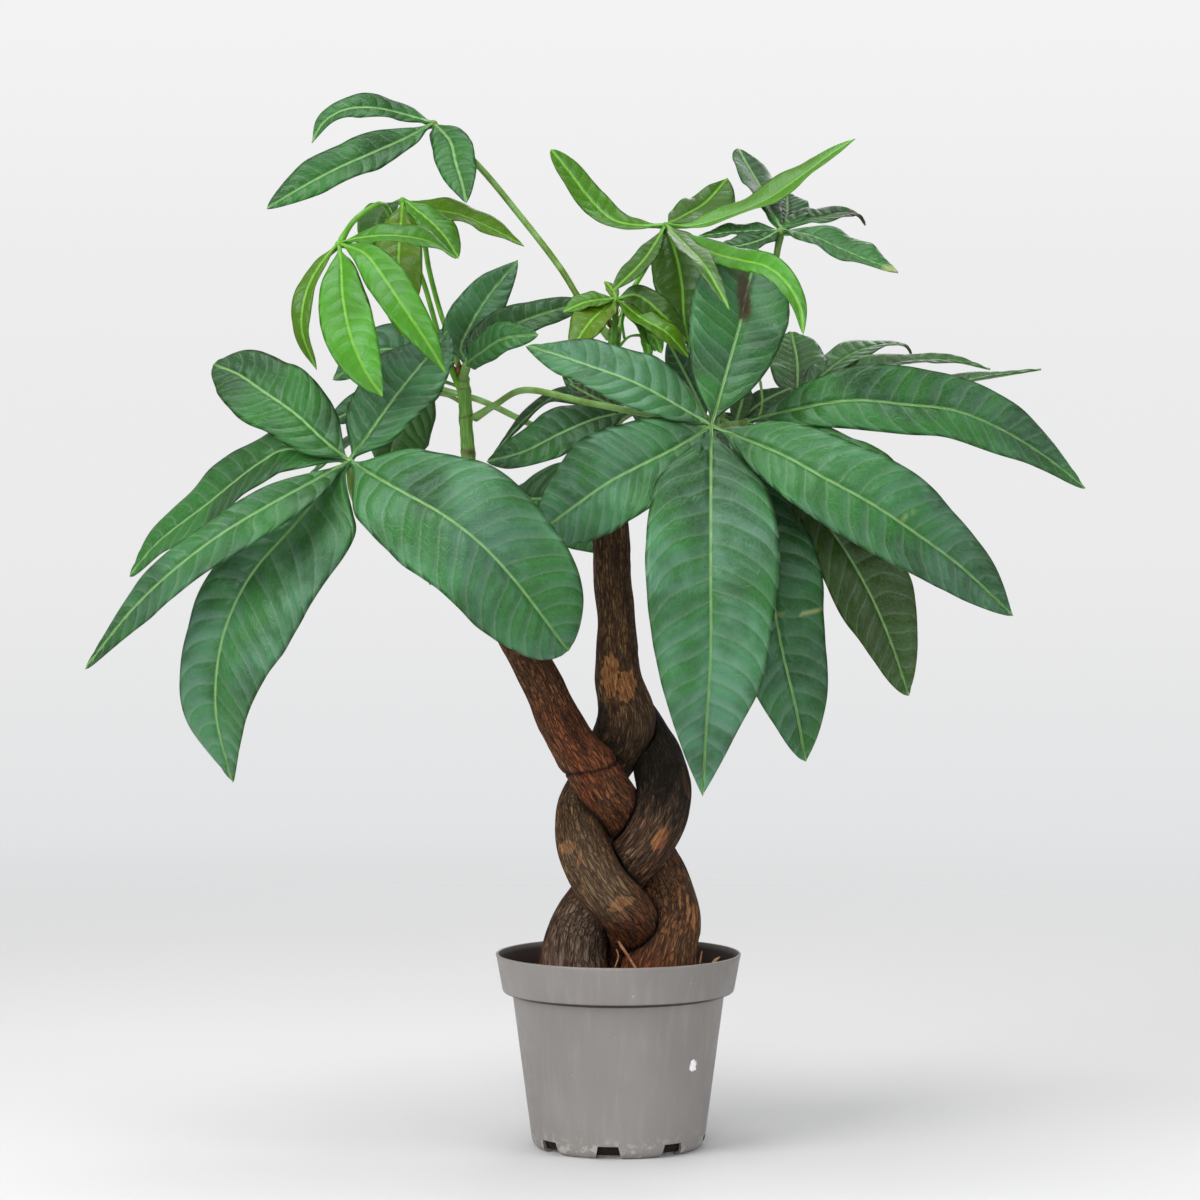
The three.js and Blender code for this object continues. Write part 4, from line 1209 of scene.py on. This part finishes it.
leaves["leaf_left_upper"] = dict(
    tone="young", face=(0, -0.6, 0.8), hub=(-105, -14, 462),
    stalk=[(-76, -11, 375), (-80, 12, 389), (-87, 36, 409), (-92, 24, 428), (-96, 6, 448)],
    leaflets=[
        dict(path=[(-92, -10, 458), (-77, -4, 455), (-61, 0, 448), (-46, 2, 440)], width=19,
             face=(0.1, -0.6, 0.8), warm=0.7),
        dict(path=[(-94, -22, 454), (-85, -30, 445), (-78, -36, 434)], width=18, face=(0.2, -0.6, 0.78),
             ripe=0.3),
        dict(path=[(-107, -36, 430), (-105, -44, 396)], width=24, face=(-0.1, -0.9, 0.4), warm=0.95),
        dict(path=[(-116, 36, 456), (-122, 74, 432)], width=20),
    ],
)
leaves["leaf_front_left"] = dict(
    tone="mature", face=(-0.15, -0.85, 0.5), hub=(-131, -100, 335),
    stalk=[(-64, -7, 285), (-73, -24, 288), (-92, -47, 292), (-120, -78, 304), (-130, -94, 321)],
    leaflets=[
        dict(path=[(-143, -98, 345), (-157, -90, 358), (-174, -76, 370), (-186, -64, 378),
             (-197, -56, 382)], width=37, fullest=0.55, drawn=0.6, paintedSheen=0.05),
        dict(path=[(-110, -84, 365), (-83, -50, 398)], width=38, paintedSheen=0.4),
        dict(path=[(-108, -116, 322), (-85, -128, 309), (-67, -132, 295), (-52, -130, 279),
             (-38, -122, 261), (-25, -110, 243)], width=63, fullest=0.52, drawn=0.56, lean=(-0.08, 0.02),
             paintedSheen=0.55),
        dict(path=[(-147, -110, 317), (-159, -118, 303), (-179, -122, 280), (-191, -120, 256),
             (-196, -114, 233), (-196, -104, 209), (-188, -90, 179)], width=55, fullest=0.48, drawn=0.95,
             lean=(0.8, -0.1), paintedSheen=0.6),
        dict(path=[(-148, -116, 326), (-172, -134, 313), (-195, -136, 299), (-216, -130, 283),
             (-237, -114, 263), (-260, -94, 234)], width=26, fullest=0.45, drawn=0.8, lean=(0.25, 0.25),
             paintedSheen=0.35),
        dict(path=[(-162, -86, 341), (-174, -80, 335), (-201, -58, 314), (-225, -40, 295),
             (-238, -30, 279)], width=32, fullest=0.48, drawn=0.75, lean=(0.1, 0.1), paintedSheen=0.1),
    ],
)
leaves["leaf_left_crown"] = dict(
    tone="mature", face=(0.3, -0.6, 0.75), hub=(-74, -17, 382),
    stalk=[(-76, -12, 375)],
    leaflets=[
        dict(path=[(-77, -6, 390), (-73, 8, 400), (-64, 26, 415), (-49, 44, 433)], width=25, fullest=0.42,
             paintedSheen=0.3),
        dict(path=[(-67, -28, 388), (-56, -36, 395), (-39, -38, 397)], width=18, face=(0.1, -0.9, 0.4),
             drawn=0.75, paintedSheen=0.1),
        dict(path=[(-62, 4, 396), (-48, 12, 403), (-30, 24, 409), (-10, 34, 413)], width=20, fullest=0.45,
             paintedSheen=0.1, warm=0.2),
    ],
)
leaves["leaf_left_back"] = dict(
    tone="mature", face=(-0.3, -0.4, 0.85), hub=(-89, 52, 371),
    stalk=[(-3, 4, 340), (-15, 18, 345), (-39, 30, 352), (-67, 42, 365)],
    leaflets=[
        dict(path=[(-112, 66, 390), (-139, 70, 375)], width=27, face=(-0.2, -0.8, 0.55), paintedSheen=0.3),
        dict(path=[(-119, 62, 364), (-144, 60, 353)], width=20, face=(-0.2, -0.8, 0.55)),
        dict(path=[(-107, 44, 351), (-114, 30, 326)], width=32, face=(0.5, -0.8, 0.2), warm=0.5),
        dict(path=[(-123, 74, 350), (-152, 80, 327)], width=24),
        dict(path=[(-87, 104, 392), (-82, 150, 400)], width=32),
    ],
)
leaves["leaf_middle_back"] = dict(
    tone="mature", face=(-0.1, -0.6, 0.8), hub=(5, -20, 359),
    stalk=[(-2, 3, 346), (0, -10, 354)],
    leaflets=[
        dict(path=[(-11, -30, 356), (-28, -38, 349), (-46, -38, 340), (-64, -34, 335)], width=26,
             face=(-0.1, -0.8, 0.6), drawn=0.75, paintedSheen=0.1),
        dict(path=[(-14, 2, 365), (-30, 10, 367), (-45, 14, 356), (-62, 14, 337)], width=15, drawn=0.8,
             ripe=0.5),
        dict(path=[(23, -28, 356), (41, -22, 348)], width=18, face=(0, -0.8, 0.6)),
        dict(path=[(-18, -4, 369), (-28, 2, 380)], width=12),
        dict(path=[(-13, -22, 367), (-24, -20, 373)], width=13, face=(0, -0.8, 0.6), warm=1),
    ],
)
leaves["leaf_middle_crown"] = dict(
    tone="young", face=(0, -0.6, 0.8), hub=(-1, -24, 414),
    stalk=[(-2, -5, 392), (-2, -16, 402)],
    leaflets=[
        dict(path=[(11, -34, 405), (23, -40, 398), (34, -40, 386)], width=15, face=(0.3, -0.7, 0.65),
             fullest=0.55, drawn=0.75, warm=0.55),
        dict(path=[(-15, -30, 413), (-27, -34, 408)], width=13, warm=0.35),
        dict(path=[(-14, -38, 403), (-23, -40, 389)], width=19, warm=0.95),
        dict(path=[(11, -24, 403), (18, -16, 389)], width=13, warm=0.3),
        dict(path=[(9, -28, 416), (22, -30, 406), (33, -26, 394)], width=14, face=(0.2, -0.8, 0.5),
             drawn=0.75, ripe=1),
        dict(path=[(-4, -16, 420), (-7, -14, 423)], width=6, warm=1),
    ],
)
leaves["leaf_back_left"] = dict(
    tone="mature", face=(-0.2, 0.5, 0.84), hub=(-55, 104, 317),
    stalk=[(-1, 27, 279), (0, 52, 286), (-11, 84, 298), (-33, 102, 312)],
    leaflets=[
        dict(path=[(-75, 150, 302), (-92, 172, 275)], width=35),
        dict(path=[(-50, 162, 297), (-45, 190, 268)], width=36),
        dict(path=[(-82, 150, 314), (-107, 186, 305)], width=35),
        dict(path=[(-32, 154, 317), (-10, 192, 312)], width=34),
        dict(path=[(-53, 155, 320), (-50, 206, 317)], width=32),
        dict(path=[(-28, 86, 315), (-3, 66, 291)], width=41, face=(0, -0.9, 0.4)),
    ],
)
leaves["leaf_back_right"] = dict(
    tone="mature", face=(0.2, 0.5, 0.84), hub=(50, 112, 358),
    stalk=[(19, 30, 346), (26, 62, 351), (37, 92, 355)],
    leaflets=[
        dict(path=[(60, 160, 326), (69, 185, 287)], width=36),
        dict(path=[(41, 165, 329), (35, 200, 295)], width=35),
        dict(path=[(84, 165, 351), (113, 195, 326)], width=36),
        dict(path=[(45, 160, 382), (40, 200, 395)], width=33),
        dict(path=[(89, 138, 326), (118, 150, 287)], width=35),
    ],
)


def leafMaterial(name, look):
    material = newMaterial(name, IOR=look["ior"], Specular_IOR_Level=look["specular"],
                           Specular_Tint=(0.72, 1.0, 0.94, 1.0), Subsurface_Weight=0.1,
                           Subsurface_Scale=0.0012, Subsurface_Radius=(0.6, 1.0, 0.25))
    place = here()
    blade = useGroup(bladeVeins, {"Vein Width": 0.11})
    fine, broad = noisy(place, 420.0, 4.0), noisy(place, 38.0)
    glint = times(blade["Sheen"], calc("MULTIPLY_ADD", reading("paintedSheen"), 0.9, 0.3))
    top = layered(
        look["deep"],
        (ease(noisy(place, 24.0, 2.0), 0.36, 0.64), look["fresh"]),
        (ease(fine, 0.35, 0.8), look["fresh"], 0.25),
        # painted sheen: a pale bluish wash over the upper side
        (times(reading("paintedSheen"), ease(broad, 0.36, 0.64, 0.15, 0.75)), look["paintedSheen"]),
        (reading("ripe"), look["ripe"]),
        (reading("warm"), look["warm"]),
        # painted sheen bands between the side veins, and painted shade beside them
        (times(glint, ease(broad, 0.36, 0.6, 0.45, 1.0)), look["sheen"]),
        (blade["Crease Shade"], look["shade"], look["creaseShade"]),
        (blade["Net"], look["vein"], 0.07),
        (blade["Side Veins"], look["vein"], look["sideVeins"]),
    )
    under = layered(
        look["under"],
        (reading("ripe"), look["ripe"], 0.8),
        (blade["Side Veins"], look["vein"], 0.3),
        (blade["Net"], look["vein"], 0.12),
    )
    stalk = tint(ease(noisy(place, 90.0, 2.0), 0.3, 0.7, 0.0, 0.3), look["stalk"], look["rib"])
    colour = layered(
        top,
        (blade["Underside"], under),
        (blade["Midrib"], look["rib"], 0.85),
        (blade["Edge"], look["edge"], 0.5),
        (blade["Stalk"], stalk),
        (reading("brown"), dead),
        (reading("torn"), torn),
    )
    rough = ease(noisy(place, 60.0), 0.3, 0.7, look["roughness"] - 0.05, look["roughness"] + 0.08)
    rough = calc("MULTIPLY_ADD", blade["Underside"], 0.2, rough)
    height = calc("MULTIPLY_ADD", fine, 0.1, times(blade["Swell"], 0.7))
    height = calc("MULTIPLY_ADD", blade["Net"], -0.1, height)
    height = times(height, calc("SUBTRACT", 1.0, blade["Stalk"]))
    return covered(material, colour, rough, height, look["bump"], 0.0006)


def fullness(t, fullest, drawn):
    # half a leaflet's width along its rib, from a narrow foot to a tip that is blunt where drawn is small
    rise = fullest / (1 - fullest)
    shape = (t ** rise * (1 - t)) / (fullest ** rise * (1 - fullest))
    narrow = leafForm["narrowBase"]
    base = 1 - (1 - t / narrow) ** 2 if t < narrow else 1
    return base * max(shape, 0) ** drawn


def routeLength(route):
    return sum((placed(b) - placed(a)).length for a, b in zip(route, route[1:]))


def addBlade(bm, marks, leaf, look, blade, order, seed):
    route = [(*knot, 0) for knot in (leaf["hub"], *blade["path"])]
    length = routeLength(route)
    width = blade["width"] * mm
    pairs = round(leafForm["fewestPairs"] + leafForm["pairsPerMetre"] * length)
    rows = max(pairs * 6, 44)
    columns = 2 * round(6 + width / mm / 7)  # columns on each side of the blade
    warm, paintedSheen, ripe = (blade.get(share, 0) for share in ("warm", "paintedSheen", "ripe"))
    fullest, drawn = blade.get("fullest", 0.5), blade.get("drawn", 0.85)
    leanFoot, leanTip = blade.get("lean", (0, 0))
    stations = limbPath(route, rows, blade.get("face", leaf["face"]), 24)
    for row, one in enumerate(stations):
        t = row / rows
        half = max(width / 2 * fullness(t, fullest, drawn), leafForm["footWidth"] * mm * (1 - t) ** 2)
        ragged = 1 + 0.006 * math.sin(t * 23 + seed) + 0.003 * math.sin(t * 61 + seed * 2)
        one.update(t=t, half=half * ragged if row < rows else 0, lean=leanFoot * (1 - t) + leanTip * t)

    def place(vert, turn, row):
        at = stations[row]
        under = turn > 0.5
        s = 4 * turn - 3 if under else 1 - 4 * turn
        across = math.copysign(abs(s) ** 1.35, s)
        t, half = at["t"], at["half"] * (1 + math.copysign(at["lean"], across * at["lean"]))
        reach = abs(across)
        drift = 0.3 * noise.noise(Vector((t * 6, across * 1.5, seed)))
        phase = pairs * (t - (0.3 * reach + 0.24 * reach ** 2) * half / length) - 0.45 * reach ** 7
        phase += drift + (0.5 if across > 0 else 0)
        cell = phase - math.floor(phase)
        swell = (4 * cell * (1 - cell)) ** 0.7 * smooth(reach, 0, 0.16) * (1 - smooth(reach, 0.72, 1))
        rippled = math.sin(2 * math.pi * leafForm["waves"] * t + order * 2.4 + (1.9 if across > 0 else 0))
        wave = leafForm["wave"] * width * rippled * math.sin(math.pi * t) * reach ** 1.6
        fretted = math.sin(2 * math.pi * leafForm["frets"] * t + seed * 3 + across)
        fret = leafForm["fret"] * width * fretted * reach ** 4 * math.sin(math.pi * t)
        lift = leafForm["fold"] * half * 2 * (1.7 * reach - 0.7 * reach ** 2) + wave + fret
        lift += look["swell"] * mm * swell * min(1, width / (leafForm["fullWidth"] * mm)) ** 1.3
        fromRib = across * half
        neck = leafForm["neck"] * hump(t * length, leafForm["neckLength"] * mm)
        thick = (leafForm["thickness"] + neck) * mm * (1 - abs(s) ** 6) ** 0.5
        if under:
            ridge = leafForm["ribHeight"] * mm * (1.05 - t)
            ridge *= hump(fromRib, leafForm["ribWidth"] * mm * (1.15 - 0.8 * t))
            sideRidge = leafForm["veinHeight"] * mm * hump(min(cell, 1 - cell), 0.07)
            ridge += sideRidge * (1 - smooth(reach, 0.5, 0.95))
            lift -= thick / 2 + ridge * min(1, half / mm)
        else:
            groove = leafForm["channel"] * mm * hump(fromRib, 0.9 * mm) * min(1, half / (3 * mm))
            lift += thick / 2 - groove
        vert[marks["vein"]] = phase
        vert[marks["rib"]] = fromRib / mm
        vert[marks["warm"]] = warm
        vert[marks["ripe"]] = ripe
        # painted sheen, growing towards the tip
        vert[marks["paintedSheen"]] = paintedSheen * (0.25 + 0.75 * smooth(t, 0.05, 0.55))
        point = at["point"] + at["side"] * fromRib + at["normal"] * lift
        for mark in ("brown", "torn"):
            if mark in blade:
                vert[marks[mark]] = scarShare(point, blade[mark], 0.3 * noise.noise(point * 400))
        return point

    rolled(bm, 2 * columns, rows, place)


def addStalk(bm, marks, leaf, radius):
    route = leaf["stalk"] + [leaf["hub"]]
    collar = radius * leafForm["collar"]
    layout = [(*knot, radius if i else collar) for i, knot in enumerate(route)]
    length = routeLength(route)
    rows = max(round(length / (leafForm["stalkStep"] * mm)), 10)
    stations = limbPath(layout, rows)
    for one in stations:
        one["radius"] *= 1 + 0.35 * hump(length - one["distance"], 5 * mm)

    def prepare(vert):
        vert[marks["stalk"]] = 1

    addLimb(bm, stations, leafForm["stalkAround"], rows, prepare)
    hub = Matrix.Translation(placed(leaf["hub"]))
    ball = bmesh.ops.create_icosphere(bm, subdivisions=3, radius=collar * mm, matrix=hub)
    for vert in ball["verts"]:
        prepare(vert)


leafMarks = ("vein", "rib", "warm", "paintedSheen", "ripe", "brown", "torn", "stalk")
leafMaterials = {tone: leafMaterial("leaf " + tone, look) for tone, look in leafLooks.items()}


def makeLeaf(name, leaf):
    tone = leaf["tone"]
    bm = bmesh.new()
    marks = newMarks(bm, leafMarks)
    addStalk(bm, marks, leaf, leafLooks[tone]["radius"])
    for order, blade in enumerate(leaf["leaflets"]):
        seed = len(name) * 3.1 + order * 1.7 + leaf["hub"][0] * 0.01
        addBlade(bm, marks, leaf, leafLooks[tone], blade, order, seed)
    finished(bm, name + "_fine", leafMaterials[tone], name)


for name, leaf in leaves.items():
    makeLeaf(name, leaf)
print("leaves built")


# Small growth between the leaves

sprouts = dict(
    young=[
        dict(hub=(11, -20, 397), stalk=[(0, -6, 391), (5, -12, 396)], radius=0.6, face=(0.1, -0.9, 0.4),
             leaflets=[dict(path=[(17, -23, 396), (21, -26, 388)], width=7, paintedSheen=0.3),
                       dict(path=[(14, -23, 391), (15, -24, 384)], width=5, paintedSheen=0.3)]),
        dict(hub=(-5, -24, 410), stalk=[(-17, -32, 404), (-12, -29, 408)], radius=0.55, leaflets=[]),
        dict(hub=(-8, -22, 412), stalk=[(-1, -8, 393), (-3, -16, 402)], radius=0.6, leaflets=[]),
        dict(hub=(5, -20, 414), stalk=[(3, -8, 394), (2, -15, 405)], radius=0.55, leaflets=[]),
    ],
    mature=[
        dict(hub=(43, 8, 356), stalk=[(34, 24, 350), (40, 14, 352)], radius=0.9, face=(0, -1, 0.1),
             leaflets=[dict(path=[(35, 18, 373), (24, 24, 394)], width=18, ripe=0.9)]),
        dict(hub=(57, 16, 353), stalk=[(46, 20, 350), (52, 18, 351)], radius=0.9, face=(0, -0.8, 0.6),
             leaflets=[dict(path=[(70, 28, 364), (84, 36, 371)], width=13, ripe=0.6, warm=0.3),
                       dict(path=[(60, 22, 364), (61, 30, 374)], width=11, warm=0.6)]),
        dict(hub=(69, 8, 376), stalk=[(67, 4, 352), (70, 6, 363)], radius=0.6, leaflets=[]),
        dict(hub=(-90, -2, 369), stalk=[(-76, -9, 364), (-82, -6, 367)], radius=0.9, leaflets=[]),
        dict(hub=(-87, -14, 375), stalk=[(-76, -10, 371), (-81, -12, 373)], radius=0.8, leaflets=[]),
    ],
)


def makeSprouts(tone):
    bm = bmesh.new()
    marks = newMarks(bm, leafMarks)
    for order, sprout in enumerate(sprouts[tone]):
        addStalk(bm, marks, sprout, sprout["radius"])
        for blade in sprout["leaflets"]:
            addBlade(bm, marks, sprout, leafLooks[tone], blade, order, order * 1.7)
    finished(bm, "sprouts_" + tone, leafMaterials[tone])


for tone in sprouts:
    makeSprouts(tone)
print("sprouts built")


# Floor, light and background

white = (1.0, 1.0, 1.0)
studio = dict(
    floor=srgb(211, 211, 212), floorRadius=3.0, floorFade=(0.45, 1.7),  # both in metres
    high=srgb(243, 243, 243), middle=srgb(235, 235, 236), low=srgb(224, 225, 226),
    ambient=0.42,
    lights=dict(
        key=dict(place=(-1550, -1400, 1300), aim=(0, 0, 250), size=1600, watts=42, colour=(1.0, 0.99, 0.98)),
        fill=dict(place=(1700, -900, 850), aim=(0, 0, 200), size=1200, watts=11, colour=(0.98, 0.99, 1.0)),
        front=dict(place=(-250, -2300, 750), aim=(0, 0, 260), size=1100, watts=20, colour=white),
        top=dict(place=(-100, -100, 2000), aim=(0, 0, 200), size=1300, watts=20, colour=white),
        back=dict(place=(500, 1900, 1100), aim=(0, 0, 250), size=1200, watts=8, colour=white),
    ),
)


def makeFloor():
    bm = bmesh.new()
    bmesh.ops.create_circle(bm, cap_ends=True, segments=96, radius=studio["floorRadius"])
    floor = meshObject(bm, "floor")
    material = newMaterial("studio floor", Roughness=0.85)
    place = here()
    cloud = ease(noisy(place, 2.5, 2.0), 0.3, 0.7, 0.0, 0.03)
    connect(material, Base_Color=tint(cloud, studio["floor"], studio["low"]),
            Alpha=falling(vectorCalc("LENGTH", place), *studio["floorFade"]))
    floor.data.materials.append(material)


def makeLights():
    for name, light in studio["lights"].items():
        lamp = bpy.data.lights.new(name, "AREA")
        lamp.shape = "DISK"
        lamp.size = light["size"] * mm
        lamp.energy = light["watts"]
        lamp.color = light["colour"]
        spot = bpy.data.objects.new(name, lamp)
        spot.location = Vector(light["place"]) * mm
        aim = Vector(light["aim"]) * mm - spot.location
        spot.rotation_euler = aim.to_track_quat("-Z", "Y").to_euler()
        bpy.context.scene.collection.objects.link(spot)


def makeWorld():
    world = bpy.data.worlds.new("studio")
    world.use_nodes = True
    tree = bench["tree"] = world.node_tree
    way = parts(put("ShaderNodeTexCoord").outputs["Generated"])["Z"]
    colour = tint(falling(way, -0.13, -0.01), studio["middle"], studio["low"])
    colour = tint(ease(way, 0.0, 0.12), colour, studio["high"])
    seen = put("ShaderNodeLightPath").outputs["Is Camera Ray"]
    strength = calc("MULTIPLY_ADD", seen, 1 - studio["ambient"], studio["ambient"])
    tree.links.new(colour, tree.nodes["Background"].inputs["Color"])
    tree.links.new(strength, tree.nodes["Background"].inputs["Strength"])
    bpy.context.scene.world = world
    bpy.context.scene.view_settings.view_transform = "Standard"


makeFloor()
makeLights()
makeWorld()
print("stage set")
